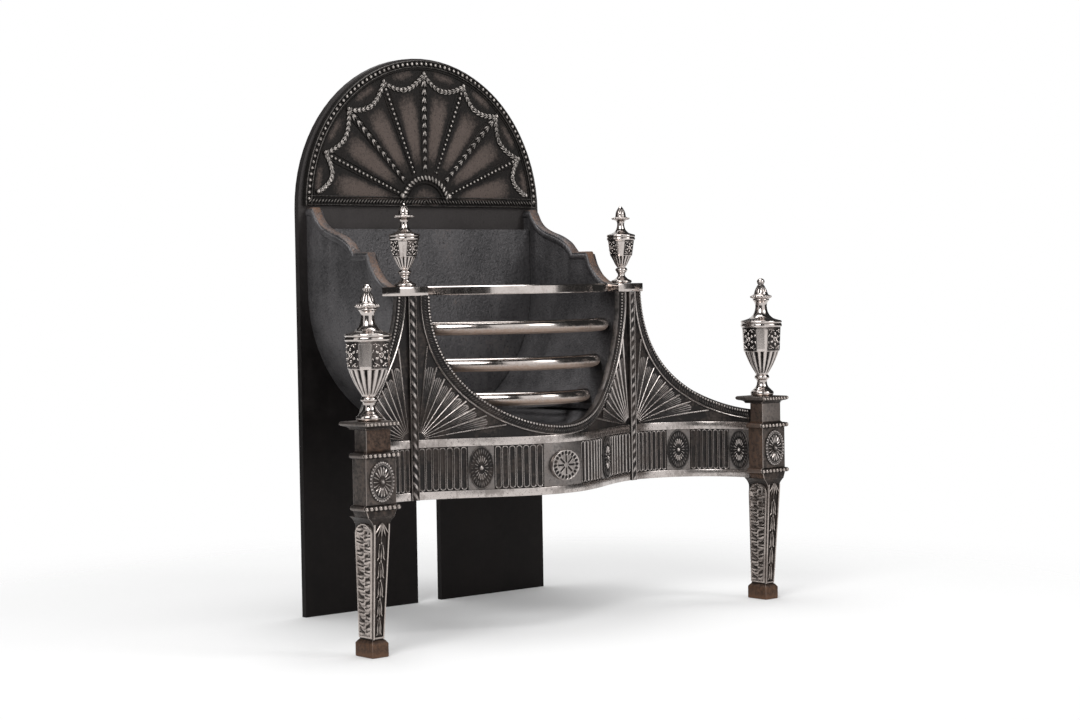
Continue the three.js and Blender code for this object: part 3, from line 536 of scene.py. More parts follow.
def spaced(path: np.ndarray, count: int) -> tuple[np.ndarray, np.ndarray]:
    """Spaces places evenly along a path, half a step in from its ends.

    Args:
        path: the points of the path.
        count: how many places to find.

    Returns:
        The places, and the direction of the path at each, in radians.
    """
    steps = np.linalg.norm(np.diff(path, axis=0), axis=1)
    length = np.concatenate([[0], np.cumsum(steps)])
    at = (np.arange(count) + 0.5) / count * length[-1]
    places, ahead, behind = (
        columns(*(np.interp(at + step, length, path[:, k]) for k in (0, 1)))
        for step in (0, 0.5, -0.5)
    )
    step = ahead - behind
    return places, np.arctan2(step[:, 1], step[:, 0])


def softened(points: Sequence[Sequence[float]]) -> np.ndarray:
    """Rounds the corners of an open line by cutting them twice.

    Args:
        points: the points of the line.

    Returns:
        The softer line.
    """
    line = np.array(points, float)
    cut = 0.22
    for _ in range(2):
        near = line[:-1] * (1 - cut) + line[1:] * cut
        far = line[:-1] * cut + line[1:] * (1 - cut)
        middle = np.stack([near, far], 1).reshape(-1, line.shape[1])
        line = np.vstack([line[:1], middle, line[-1:]])
    return line


class Workshop:
    """Turns finished clay into pieces of the scene that ride on a body of the frame."""

    plate_y = 0.0
    finishes: dict[str, bpy.types.Material] = {}

    @classmethod
    def open(cls) -> None:
        """Finds the front face of the back plate, from which distances forward are counted."""
        cls.plate_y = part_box("back_plate")[0].y

    @classmethod
    def material(cls, finish: WornMetal | FiredIron) -> bpy.types.Material:
        """Returns a finish's material, made once.

        Args:
            finish: the finish.

        Returns:
            Its material.
        """
        if finish.name not in cls.finishes:
            cls.finishes[finish.name] = finish.build()
        return cls.finishes[finish.name]

    @classmethod
    def dress(cls, node: bpy.types.Object, finish: WornMetal | FiredIron) -> None:
        """Gives a node of the frame a finish.

        Args:
            node: the node's object.
            finish: the finish.
        """
        node.data.materials.clear()
        node.data.materials.append(cls.material(finish))
        LOG.info("dressed %s", node.name)

    @staticmethod
    def placed(name: str, data: bpy.types.ID) -> bpy.types.Object:
        """Puts a mesh, a camera or a lamp into the scene.

        Args:
            name: the object's name.
            data: its mesh, camera or lamp.

        Returns:
            The object.
        """
        made = bpy.data.objects.new(name, data)
        bpy.context.scene.collection.objects.link(made)
        return made


class Clay:
    """Closed shapes that are modelled flat and carried on to a face by a warp."""

    def __init__(self, warp: Warp | None = None) -> None:
        """Starts an empty piece.

        Args:
            warp: carries flat points (length, height, depth) into elevation space.
        """
        self.warp = warp or (lambda points: points)
        self.points: list[np.ndarray] = []
        self.marks: list[np.ndarray] = []
        self.faces: list[tuple[int, ...]] = []
        self.count = 0

    def add(
        self,
        points: np.ndarray,
        faces: Sequence[Sequence[int]],
        polish: np.ndarray | float,
        rub: np.ndarray | float = 0.0,
    ) -> None:
        """Adds one closed shape.

        Args:
            points: its points in the flat frame.
            faces: its faces, by the numbers of their points.
            polish: how rubbed each point is.
            rub: how stained each point is.
        """
        flat = np.asarray(points, float)
        marks = np.empty((len(flat), 2))
        marks[:, 0] = polish
        marks[:, 1] = rub
        self.points.append(self.warp(flat))
        self.marks.append(marks)
        self.faces.extend(tuple(self.count + i for i in face) for face in faces)
        self.count += len(flat)

    def merge(self, other: Clay) -> None:
        """Adds all shapes of another clay, which are in elevation space already.

        Args:
            other: the shapes to add.
        """
        self.points += other.points
        self.marks += other.marks
        self.faces += [tuple(i + self.count for i in face) for face in other.faces]
        self.count += other.count

    def loft(
        self,
        rings: np.ndarray,
        polish: np.ndarray | float,
        closed: bool = False,
        rub: np.ndarray | float = 0.0,
    ) -> None:
        """Adds a shape through closed rings of points.

        Args:
            rings: the rings, as an array of ring, point and coordinate.
            polish: the polish of each point, for one ring or for all.
            closed: whether the last ring meets the first one.
            rub: the stain of each point, for one ring or for all.
        """
        n, k, _ = rings.shape
        i = np.arange(n if closed else n - 1)[:, None] * k
        j = np.arange(k)[None, :]
        up = (i + k) % (n * k)
        quads = columns(i + j, i + (j + 1) % k, up + (j + 1) % k, up + j).reshape(-1, 4)
        faces = [tuple(q) for q in quads.tolist()]
        if not closed:
            faces.append(tuple(range(k - 1, -1, -1)))
            faces.append(tuple(range((n - 1) * k, n * k)))
        marks = (np.broadcast_to(np.asarray(v, float), (n, k)).reshape(-1) for v in (polish, rub))
        self.add(rings.reshape(-1, 3), faces, *marks)

    def sheet(
        self, across: np.ndarray, up: np.ndarray, depth: np.ndarray, polish: np.ndarray
    ) -> None:
        """Adds relief over a grid, as a sheet with a flat back.

        Args:
            across: the lengths of its points, by column or by column and row.
            up: the heights of its points, by row or by column and row.
            depth: how far each point stands out, by column and row.
            polish: the polish of each point.
        """
        s = across if across.ndim == 2 else across[:, None]
        front = columns(s, up, depth)
        rear = front[:, [-1, 0]]
        rear[:, :, 2] = -ROOT
        shade = np.concatenate([polish, np.full((len(front), 2), 0.1)], 1)
        self.loft(np.concatenate([front, rear], 1), shade)

    def sweep(
        self,
        path: np.ndarray | Sequence[Sequence[float]],
        profile: np.ndarray,
        closed: bool = False,
        taper: Sequence[float] | None = None,
    ) -> None:
        """Runs a section along a path.

        Args:
            path: the points of the path, as length and height.
            profile: the section, as rows of offset to the left, depth and polish.
            closed: whether the path closes on itself.
            taper: the section's size at each point of the path.
        """
        path = np.asarray(path, float)
        ahead = np.roll(path, -1, 0) - path
        behind = path - np.roll(path, 1, 0)
        if not closed:
            ahead[-1], behind[0] = behind[-1], ahead[0]
        ahead /= np.linalg.norm(ahead, axis=1, keepdims=True)
        behind /= np.linalg.norm(behind, axis=1, keepdims=True)
        along = ahead + behind
        along /= np.linalg.norm(along, axis=1, keepdims=True)
        size = np.ones(len(path)) if taper is None else np.asarray(taper, float)
        miter = size / np.clip((along * ahead).sum(1), 0.4, 1)
        across = columns(-along[:, 1], along[:, 0]) * miter[:, None]
        offset, rise, shade = profile.T[:, None, :]
        flat = path[:, None, :] + across[:, None, :] * offset[:, :, None]
        depth = np.where(rise > 0, rise * size[:, None], rise)
        self.loft(np.concatenate([flat, depth[:, :, None]], 2), shade, closed)

    def blob(
        self,
        place: Sequence[float],
        size: Sequence[float],
        angle: float = 0.0,
        point: float = 0.0,
        polish: tuple[float, float] = (0.1, 1.0),
    ) -> None:
        """Adds a bead, or a leaf if it is long and pointed.

        Args:
            place: length, height and depth of its middle.
            size: half its length, width and height.
            angle: the direction of its length, in radians.
            point: how much narrower it is at its far end.
            polish: the polish at its foot and on its top.
        """
        shape, faces = BEAD_SHAPE
        along = shape[:, 0] * size[0]
        narrow = 1 - point * (shape[:, 0] * 0.5 + 0.5)
        across = shape[:, 1] * size[1] * narrow
        depth = place[2] + shape[:, 2] * size[2] * (0.4 + 0.6 * narrow)
        c, n = math.cos(angle), math.sin(angle)
        flat = columns(
            place[0] + c * along - n * across, place[1] + n * along + c * across, depth
        )
        self.add(flat, faces, polish[0] + (polish[1] - polish[0]) * np.clip(shape[:, 2], 0, 1))

    def bead_row(
        self,
        ends: tuple[float, float],
        count: int,
        place: tuple[float, float],
        size: tuple[float, float],
    ) -> None:
        """Adds a level row of bright round beads.

        Args:
            ends: the lengths at which the first and the last bead lie.
            count: how many beads there are.
            place: the height and the depth of the row.
            size: the beads' radius, and how far they stand out.
        """
        shape, faces = BEAD_SHAPE
        grown = shape * (size[0], *size)
        for s in np.linspace(*ends, count):
            self.add(grown + (s, *place), faces, 1.2 * np.clip(shape[:, 2], 0, 1) ** 1.3)

    def husk(self, place: Sequence[float], size: float, angle: float, width: float) -> None:
        """Adds a bell-flower husk: two leaves that part from its stem, with a bud between them.

        Args:
            place: length, height and depth of its stem.
            size: its length.
            angle: the direction in which it opens, in radians.
            width: its width for its length.
        """
        for lean, out, half, wide, tall, point in (
            (-0.42, 0.45, 0.52, 0.42, 0.26, 0.55),
            (0.42, 0.45, 0.52, 0.42, 0.26, 0.55),
            (0.0, 0.5, 0.42, 0.26, 0.36, 0.4),
        ):
            way = angle + lean
            reach = size * out
            mid = (place[0] + math.cos(way) * reach, place[1] + math.sin(way) * reach, place[2])
            self.blob(mid, (size * half, size * width * wide, size * tall), way, point)

    def piece(
        self,
        name: str,
        finish: WornMetal | FiredIron,
        replaces: Sequence[str],
        body: str = FRAME_BODY,
    ) -> bpy.types.Object:
        """Makes the shapes into one object that rides on a body of the frame.

        Args:
            name: the piece's name.
            finish: its finish.
            replaces: the nodes that it stands for.
            body: the body that it rides on.

        Returns:
            The object.
        """
        x, h, f = np.vstack(self.points).T
        world = columns(x * MM, Workshop.plate_y - f * MM, h * MM)
        mesh = bpy.data.meshes.new(name)
        mesh.from_pydata(world.tolist(), [], self.faces)
        marks = np.vstack(self.marks).astype(np.float32)
        for column, label in enumerate(("polish", "rub")):
            layer = mesh.attributes.new(label, "FLOAT", "POINT")
            layer.data.foreach_set("value", marks[:, column])
        shape = bmesh.new()
        shape.from_mesh(mesh)
        bmesh.ops.remove_doubles(shape, verts=shape.verts, dist=2e-6)
        bmesh.ops.dissolve_degenerate(shape, edges=shape.edges, dist=1e-6)
        bmesh.ops.recalc_face_normals(shape, faces=shape.faces)
        shape.to_mesh(mesh)
        shape.free()
        mesh.shade_smooth()
        mesh.set_sharp_from_angle(angle=math.radians(SHARP_EDGE))
        mesh.materials.append(Workshop.material(finish))
        made = Workshop.placed(name, mesh)
        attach(made, body)
        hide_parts(*replaces)
        LOG.info("%s: %d faces", name, len(mesh.polygons))
        return made


def edged(face: float, edge: float) -> list[float]:
    """Returns the values of a ring of rounded(): one for its faces and one for its corners."""
    return [face, edge, edge, face] * 4


def rounded(
    x0: float, x1: float, f0: float, f1: float, radius: float, height: float
) -> np.ndarray:
    """Draws a level rectangle with round corners.

    Args:
        x0: its left side.
        x1: its right side.
        f0: its rear.
        f1: its front.
        radius: the radius of its corners.
        height: the height that it lies at.

    Returns:
        Its points.
    """
    radius = min(radius, (x1 - x0) / 2.01, (f1 - f0) / 2.01)
    corners = [(x1, f1, 0), (x0, f1, 90), (x0, f0, 180), (x1, f0, 270)]
    ring = []
    for x, f, start in corners:
        cx = x - math.copysign(radius, x - (x0 + x1) / 2)
        cf = f - math.copysign(radius, f - (f0 + f1) / 2)
        ring.append(circle(cx, cf, radius, start, start + 90, 3))
    flat = np.vstack(ring)
    return columns(flat[:, 0], height, flat[:, 1])


# ---------------------------------------------------------------- the serpentine front


@dataclass
class Serpentine:
    """The plan of the front, as tables of its points by their length along it."""

    crest: float = 357.0
    trough: float = 264.0
    trough_at: float = 262.0
    wing_radius: float = 136.0
    steps: int = 800

    def __post_init__(self) -> None:
        """Tables the right half of the plan: a bow, then a quarter round out to the leg."""
        x = np.linspace(0, self.trough_at, self.steps)
        swing = (self.crest - self.trough) / 2
        bow = columns(x, self.trough + swing * (1 + np.cos(np.pi * x / self.trough_at)))
        a = np.linspace(0, np.pi / 2, self.steps)[1:]
        radius = self.wing_radius
        wing = columns(self.trough_at + radius * np.sin(a), self.trough + radius * (1 - np.cos(a)))
        line = np.vstack([bow, wing])
        step = np.linalg.norm(np.diff(line, axis=0), axis=1)
        self.length = np.concatenate([[0], np.cumsum(step)])
        self.x, self.f = line.T
        self.dx = np.gradient(self.x, self.length)
        self.df = np.gradient(self.f, self.length)
        self.trough_s = float(self.length[self.steps - 1])

    def length_at(self, x: np.ndarray | float) -> np.ndarray:
        """Returns the length along the front where it has a given x."""
        return np.sign(x) * np.interp(np.abs(x), self.x, self.length)

    def x_at(self, s: np.ndarray | float) -> np.ndarray:
        """Returns the x of the front at a given length."""
        return np.sign(s) * np.interp(np.abs(s), self.length, self.x)

    def forward_at(self, x: np.ndarray | float) -> np.ndarray:
        """Returns how far forward the front's face is at a given x."""
        return np.interp(np.abs(x), self.x, self.f)

    def warp(self, flat: np.ndarray) -> np.ndarray:
        """Carries flat points on to the front.

        Args:
            flat: rows of length, height and depth.

        Returns:
            The points in elevation space.
        """
        s, h, d = flat.T
        side = np.where(s < 0, -1.0, 1.0)
        at = np.abs(s)
        tables = (self.x, self.f, self.dx, self.df)
        x, f, dx, df = (np.interp(at, self.length, table) for table in tables)
        return columns(side * (x - df * d), h, f + dx * d)


@dataclass
class Front:
    """The three pierced castings, the strips over their joints, and the ornaments on them."""

    low: float = 210.0
    high: float = 532.7
    thickness: float = 9.0
    frieze_low: float = 222.5
    frieze_high: float = 292.5
    frieze_top: float = 305.5
    fillet: float = 3.0
    panel: float = 2.0
    mouth_centre: float = 526.0
    mouth_radius: float = 205.0
    rim: float = 12.5
    rim_fillet: float = 4.5
    bead_line: float = 2.6
    bead_pitch: float = 5.2
    hatch_line: float = 8.6
    hatch_pitch: float = 4.3
    wing_centre: float = 540.0
    wing_curve: float = 213.0
    strip_at: float = 236.0
    strip_half: float = 7.0
    centre_panel: float = 40.0
    oval_panel: float = 42.0
    oval: tuple[float, float] = (20.2, 34.9)
    end_oval_inset: float = 20.0
    outer_bay: float = 70.0
    flutes: int = 7
    rays: int = 9
    ray_first: float = 7.8
    ray_pitch: float = 9.4
    ray_foot: float = 305.5
    ray_inset: float = 8.0
    rope: float = 4.9
    rope_step: float = 16.0
    medallion: float = 25.0
    leg_rear: float = 392.0
    plan: Serpentine = field(default_factory=Serpentine)

    def __post_init__(self) -> None:
        """Works out where the strips, the wings' ends and the ovals are along the front."""
        plan = self.plan
        self.strip_s = float(plan.length_at(self.strip_at))
        turn = math.acos(1 - (self.leg_rear - GAP - plan.trough) / plan.wing_radius)
        self.end_s = plan.trough_s + plan.wing_radius * turn - 0.8
        self.middle = (self.frieze_low + self.frieze_high) / 2
        bay_end = self.strip_s - self.strip_half
        self.oval_s = {
            "inner": self.centre_panel + (bay_end - self.centre_panel) / 2,
            "outer": self.strip_s + self.strip_half + self.outer_bay + self.oval_panel / 2,
            "end": self.end_s - self.end_oval_inset,
        }

    def build(self) -> None:
        """Builds every casting and ornament of the front."""
        self.centre_casting()
        for side in Side:
            self.wing_casting(side)
            self.rope_strip(side)
            for name, s in self.oval_s.items():
                self.oval_patera(f"{name}_patera_{side.label}", side.value * s)
        self.centre_medallion()

    # the plain castings

    def mouth_point(self, radius: float, angle: np.ndarray, depth: float) -> np.ndarray:
        """Finds flat points on a circle about the mouth's centre, as seen from the front.

        Args:
            radius: the circle's radius.
            angle: angles below the left-hand horizon, in radians.
            depth: the depth of the points.

        Returns:
            Rows of length, height and depth.
        """
        s = self.plan.length_at(-radius * np.cos(angle))
        return columns(s, self.mouth_centre - radius * np.sin(angle), depth)

    def wing_point(self, radius: float, angle: np.ndarray, depth: float) -> np.ndarray:
        """Finds flat points on a circle about the centre of a wing's swept edge.

        Args:
            radius: the circle's radius.
            angle: angles below the horizon, in radians.
            depth: the depth of the points.

        Returns:
            Rows of length, height and depth.
        """
        s = self.plan.trough_s + self.wing_curve - radius * np.cos(angle)
        return columns(s, self.wing_centre - radius * np.sin(angle), depth)

    def wing_angles(self, radius: float, steps: int) -> np.ndarray:
        """Spaces angles along a wing's edge, from under the top block to the leg.

        Args:
            radius: the radius of the edge.
            steps: how many steps there are.

        Returns:
            The angles in radians.
        """
        start = math.asin((self.wing_centre - self.high) / radius)
        end = math.acos((self.plan.trough_s + self.wing_curve - self.end_s) / radius)
        return np.linspace(start, end, steps + 1)

    def slab(self, clay: Clay, edges: np.ndarray) -> None:
        """Adds the plain thickness of a casting.

        Args:
            clay: the piece.
            edges: rows of length, lower and upper height.
        """
        s, low, high = edges.T
        soft = 0.8
        corners = (
            (low, -self.thickness, 0.3), (high, -self.thickness, 0.3), (high, -soft, 0.5),
            (high - soft, 0.0, 0.14), (low + soft, 0.0, 0.14), (low, -soft, 0.5),
        )
        rings = np.stack([columns(s, h, d) for h, d, _ in corners], 1)
        clay.loft(rings, np.array([polish for *_, polish in corners]))

    def rim_work(
        self, clay: Clay, point: Callable, angles: np.ndarray, radius: float, way: int
    ) -> None:
        """Adds the band, the fillet, the beads and the hatching along a pierced edge.

        Args:
            clay: the piece.
            point: mouth_point or wing_point.
            angles: the edge's angles.
            radius: the edge's radius.
            way: 1 on the left half of a mirror pair, -1 on the right.
        """
        band = flat_bar(radius, radius + self.rim + 1.4, 2.2, 0.14, 0.04)
        fillet = ridge(self.rim_fillet - 1.2, 4.2, 1.25, 0.15)
        fillet[:, 0] += radius + self.rim + self.rim_fillet / 2
        for profile in (band, fillet):
            rings = np.stack([point(r, angles, d) for r, d, _ in profile], 1)
            clay.loft(rings, profile[:, 2])
        bead_path = point(radius + self.bead_line, angles, 0.0)[:, :2]
        length = np.linalg.norm(np.diff(bead_path, axis=0), axis=1).sum()
        for s, h in spaced(bead_path, int(length / self.bead_pitch))[0]:
            clay.blob((s, h, 2.4), (2.1, 2.1, 2.4), polish=(0.0, 1.1))
        hatch_path = point(radius + self.hatch_line, angles, 0.0)[:, :2]
        places, turns = spaced(hatch_path, int(length / self.hatch_pitch))
        for (s, h), turn in zip(places, turns):
            clay.blob((s, h, 2.1), (4.0, 1.2, 1.6), turn + way * 0.95, polish=(0.0, 0.42))

    def frieze_bands(self, clay: Clay, start: float, end: float) -> None:
        """Adds the plain fillets above and below the frieze.

        Args:
            clay: the piece.
            start: their first length.
            end: their last length.
        """
        s = np.linspace(start, end, int((end - start) / 4))
        for low, high in ((self.low, self.frieze_low), (self.frieze_high, self.frieze_top)):
            half = (high - low) / 2
            clay.sweep(columns(s, low + half), flat_bar(-half, half, self.fillet, 1.1, 0.3))

    def fluting(self, clay: Clay, start: float, end: float) -> None:
        """Adds one bay of round-ended flutes, each framed by a raised line.

        Args:
            clay: the piece.
            start: the bay's first length.
            end: the bay's last length.
        """
        pitch = (end - start) / self.flutes
        low, high = self.frieze_low + 0.6, self.frieze_high - 0.6
        half, crest = pitch / 2 - 0.4, 0.8
        # the columns of one flute lie closest on its two crests
        right = np.array([0.15, 0.27, 0.34, 0.384, 0.42, 0.455])
        steps = 0.5 + np.concatenate([[-0.5], -right[::-1], [0.0], right])
        s = (np.arange(self.flutes)[:, None] + steps).ravel()
        s = start + np.append(s, self.flutes) * pitch
        bend = np.linspace(0, half + 0.8, 11)
        straight = np.linspace(low + half, high - half, 7)[1:-1]
        h = np.concatenate([low + bend, straight, high - bend[::-1]])
        x = ((s - start) / pitch % 1 - 0.5) * pitch
        y = np.maximum(np.abs(h - (low + high) / 2) - ((high - low) / 2 - half), 0)
        inside = half - np.hypot(x[:, None], y[None, :])
        into = np.clip((inside - crest) / (half - crest), 0, 1)
        away = np.clip((crest - inside) / 1.5, 0, 1)
        depth = 3.0 - 2.5 * np.sqrt(1 - (1 - into) ** 2) - 2.4 * away
        polish = 0.02 + 1.3 * np.exp(-(((inside - crest) / 0.6) ** 2)) + 0.16 * into ** 3
        clay.sheet(s, h, depth, polish)

    def plain_panel(self, clay: Clay, middle: float, half: float) -> None:
        """Adds the smooth panel behind an oval or the medallion.

        Args:
            clay: the piece.
            middle: its place along the front.
            half: half its width.
        """
        s = np.linspace(middle - half, middle + half, max(3, int(half)))
        tall = (self.frieze_high - self.frieze_low) / 2
        clay.sweep(columns(s, self.middle), flat_bar(-tall, tall, self.panel, 0.52, 0.4))

    def ray_turns(self) -> list[float]:
        """Returns the angles of the rays above the frieze, in degrees."""
        return [self.ray_first + i * self.ray_pitch for i in range(self.rays)]

    def sunburst(
        self, clay: Clay, foot: float, turns: Sequence[float], blocked: Callable
    ) -> None:
        """Adds the rays of half a sunburst, with a ribbed petal between each two.

        Args:
            clay: the piece.
            foot: the length at which the rays start.
            turns: the directions of the rays in degrees.
            blocked: tells whether a place lies beyond the field.
        """
        ends = []
        for k, degrees in enumerate(turns):
            c, n = math.cos(math.radians(degrees)), math.sin(math.radians(degrees))
            lengths = range(30, 400)
            stop = next(r for r in lengths if blocked(foot + r * c, self.ray_foot + r * n))
            reach = stop - 2.5
            ends.append((c, n, reach))
            t = np.linspace(12, reach, 24)
            path = columns(foot + t * c, self.ray_foot + t * n)
            clay.sweep(path, ridge(3.4, 3.3, 1.5, 0.15), taper=np.linspace(0.35, 1.0, 24))
            if k:
                self.petal(clay, foot, ends[k - 1], ends[k])

    def petal(self, clay: Clay, foot: float, first: tuple, second: tuple) -> None:
        """Adds the arched petal between two rays, ribbed and rubbed lighter towards its end.

        Args:
            clay: the piece.
            foot: the length at which the rays start.
            first: direction and reach of one ray.
            second: direction and reach of the next.
        """
        ribs, start = 4, 24
        across = np.linspace(0, 1, ribs * 4 + 1)
        share = 0.1 + 0.8 * across
        arch = np.sin(np.pi * across)
        tip = min(first[2], second[2]) - 8 + 7 * arch ** 0.6
        along = np.linspace(0, 1, 14)[:, None]
        t = start + along * (tip - start)
        c = first[0] + (second[0] - first[0]) * share
        n = first[1] + (second[1] - first[1]) * share
        rib = 0.5 + 0.5 * np.cos(2 * np.pi * ribs * across)
        depth = (0.3 + 1.1 * arch + 0.7 * rib) * (0.35 + 0.65 * along)
        polish = 0.06 + (0.16 + 0.62 * rib ** 2) * along ** 1.5
        clay.sheet(foot + t * c, self.ray_foot + t * n, depth, polish)

    def centre_casting(self) -> None:
        """Builds the middle casting, with the round mouth."""
        clay = Clay(self.plan.warp)
        edge = self.strip_s - GAP / 2
        mouth_s = float(self.plan.length_at(self.mouth_radius))
        a = np.radians(np.linspace(-90, 90, 121))
        sill = self.mouth_centre - self.mouth_radius * np.cos(a)
        mid = columns(self.plan.length_at(self.mouth_radius * np.sin(a)), self.low, sill)
        right = columns(np.linspace(mouth_s, edge, 8), self.low, self.high)
        left = right[::-1] * (-1, 1, 1)
        self.slab(clay, np.vstack([left, mid, right]))
        border = self.rim + self.rim_fillet
        lip = math.asin((self.high - self.mouth_centre) / (self.mouth_radius + border))
        angles = np.linspace(-lip, math.pi + lip, 141)
        self.rim_work(clay, self.mouth_point, angles, self.mouth_radius, 1)
        bay_end = self.strip_s - self.strip_half
        self.frieze_bands(clay, -bay_end + GAP, bay_end - GAP)
        self.plain_panel(clay, 0, self.centre_panel)
        half, oval = self.oval_panel / 2, self.oval_s["inner"]
        bays = ((self.centre_panel + 1, oval - half - 1), (oval + half + 1, bay_end - 1))
        for side in (-1, 1):
            self.plain_panel(clay, side * oval, half)
            for start, end in bays:
                self.fluting(clay, *sorted((side * start, side * end)))
            turns = [180 - turn if side > 0 else turn for turn in self.ray_turns()]
            self.sunburst(clay, side * (self.strip_s - self.ray_inset), turns, self.mouth_blocks)
        clay.piece("front_casting_center", FRONT_STEEL, ["front_panel_center"])

    def mouth_blocks(self, s: float, h: float) -> bool:
        """Finds whether a place is over the mouth's border or the casting's top.

        Args:
            s: the place's length along the front.
            h: its height.

        Returns:
            Whether it is.
        """
        border = self.mouth_radius + self.rim + self.rim_fillet
        away = math.hypot(float(self.plan.x_at(s)), h - self.mouth_centre)
        return h > self.high - 6 or away < border

    def wing_blocks(self, s: float, h: float) -> bool:
        """Finds whether a place on a wing is over its border, its end or its top.

        Args:
            s: the place's length along the front.
            h: its height.

        Returns:
            Whether it is.
        """
        border = self.wing_curve + self.rim + self.rim_fillet
        centre = self.plan.trough_s + self.wing_curve
        away = math.hypot(s - centre, h - self.wing_centre)
        inside = s > self.plan.trough_s - 18 and away < border
        return inside or s > self.end_s - 6 or h > self.high - 6

    def wing_casting(self, side: Side) -> None:
        """Builds one outer casting.

        Args:
            side: which side it stands on.
        """
        clay = Clay(lambda flat: self.plan.warp(flat) * (side.value, 1, 1))
        start = self.strip_s + GAP / 2
        flat_top = columns(np.linspace(start, self.plan.trough_s, 10), self.low, self.high)
        edge = self.wing_point(self.wing_curve, self.wing_angles(self.wing_curve, 90), 0.0)
        swept = columns(edge[:, 0], self.low, edge[:, 1])
        self.slab(clay, np.vstack([flat_top, swept]))
        outer = self.wing_curve + self.rim + self.rim_fillet
        angles = self.wing_angles(outer, 90)
        self.rim_work(clay, self.wing_point, angles, self.wing_curve, -1)
        self.frieze_bands(clay, self.strip_s + self.strip_half + GAP, self.end_s)
        half = self.oval_panel / 2
        outer_s, end_s = self.oval_s["outer"], self.oval_s["end"]
        self.plain_panel(clay, outer_s, half)
        end_low = end_s - half
        self.plain_panel(clay, (end_low + self.end_s) / 2, (self.end_s - end_low) / 2)
        self.fluting(clay, self.strip_s + self.strip_half + 1, outer_s - half - 1)
        self.fluting(clay, outer_s + half + 1, end_low - 1)
        foot = self.strip_s + self.ray_inset
        self.sunburst(clay, foot, self.ray_turns(), self.wing_blocks)
        clay.piece(f"front_casting_{side.label}", FRONT_STEEL, [f"front_wing_{side.label}"])

    # ornaments on the castings

    def rope_strip(self, side: Side) -> None:
        """Builds the strip with a twisted rope that covers the joint of two castings.

        Args:
            side: which side it stands on.
        """
        clay = Clay(self.plan.warp)
        at = side.value * self.strip_s
        path = columns(at, (self.low, self.high))
        seat = 4.4
        base = flat_bar(-self.strip_half, self.strip_half, seat + 0.2, 0.1, 0.05)
        base[:, 1] = np.where(base[:, 1] < 0, GAP, base[:, 1])
        clay.sweep(path, base)
        for offset in (-self.strip_half + 0.9, self.strip_half - 0.9):
            clay.sweep(path + (offset, 0), ridge(1.9, 1.8, 1.2, 0.15, seat))
        h = np.linspace(self.low + 1, self.high - 1, 250)[:, None]
        b = np.linspace(0, math.pi, 13)
        strand = np.abs(np.cos(b + side.value * math.pi * h / self.rope_step))
        swell = self.rope * (0.66 + 0.34 * strand ** 0.7)
        points = columns(at + swell * np.cos(b), h, seat + swell * 0.85 * np.sin(b))
        clay.loft(points, 1.15 * strand ** 4 * np.sin(b) ** 0.5)
        clay.piece(f"rope_moulding_{side.label}", FRONT_STEEL, [f"rope_strip_{side.label}"])

    def oval_patera(self, name: str, s: float) -> None:
        """Builds one upright oval patera on the frieze.

        Args:
            name: the node that it replaces.
            s: its place along the front.
        """
        wide, tall = self.oval
        clay = Clay(lambda flat: self.plan.warp(flat + (s, self.middle, self.panel + GAP)))
        dome(clay, wide, tall, [
            (1, -0.2, 0.1), (1, 1.6, 0.2), (0.96, 2.4, 0.45),
            (0.92, 1.7, 0.1), (0.5, 2.0, 0.06), (0.05, 2.2, 0.06),
        ])
        petals(clay, (wide, tall), (0.6, 0.9), 28, (1.0, 1.5), (0.0, 0.5), 2.0)
        petals(clay, (wide, tall), (0.26, 0.57), 18, (1.1, 2.6), (0.0, 1.3), 2.0)
        clay.blob((0, 0, 2.4), (3.6, 3.9, 4.0), polish=(0.1, 1.2))
        clay.piece(f"{name}_relief", FRONT_STEEL, [name])

    def centre_medallion(self) -> None:
        """Builds the round medallion in the middle of the frieze."""
        seat = self.plan.crest + self.panel + GAP
        clay = Clay(lambda flat: flat * (1.17, 1, 1) + (-2, self.middle - 1, seat))
        r = self.medallion
        a = np.linspace(0, 2 * math.pi, 161)[:-1][None, :]
        inner = np.linspace(0.955, 0.05, 34)
        share = np.concatenate([[1.0, 1.0, 0.985], inner])[:, None]
        face = np.interp(inner, (0, 0.9, 0.96), (6.6, 5.9, 6.3))
        body = np.concatenate([[0.0, 4.6, 5.8], face])[:, None]

        def off_axis(count: int) -> np.ndarray:
            """Returns how far each point is from the nearest of some evenly turned lines."""
            turn = np.abs((a / (2 * math.pi) * count + 0.5) % 1 - 0.5) / count
            return turn * 2 * math.pi * share * r

        spoke = np.clip(1.7 - off_axis(8), 0, 1) * (share > 0.16) * (share < 0.62)
        notch = np.clip(2.6 - np.hypot(off_axis(20), (share - 0.79) * r * 0.75), 0, 1)
        cut = np.maximum(spoke, notch)
        points = columns(share * r * np.cos(a), share * r * np.sin(a), body - 1.6 * cut)
        clay.loft(points, np.clip(np.where(share > 0.94, 1.0, 0.8) - cut, 0, 1))
        clay.piece("frieze_medallion", FRONT_STEEL, ["center_medallion"])


def dome(
    clay: Clay, wide: float, tall: float, rings: Sequence[tuple[float, float, float]]
) -> None:
    """Adds a round or oval plate with a stepped face, drawn about the flat frame's origin.

    Args:
        clay: the piece.
        wide: half its width.
        tall: half its height.
        rings: rows of share of the size, depth and polish, from the rear edge inwards.
    """
    a = np.linspace(0, 2 * math.pi, 49)[:-1]
    share, depth, polish = np.array(rings, float).T[:, :, None]
    clay.loft(columns(np.cos(a) * wide * share, np.sin(a) * tall * share, depth), polish)


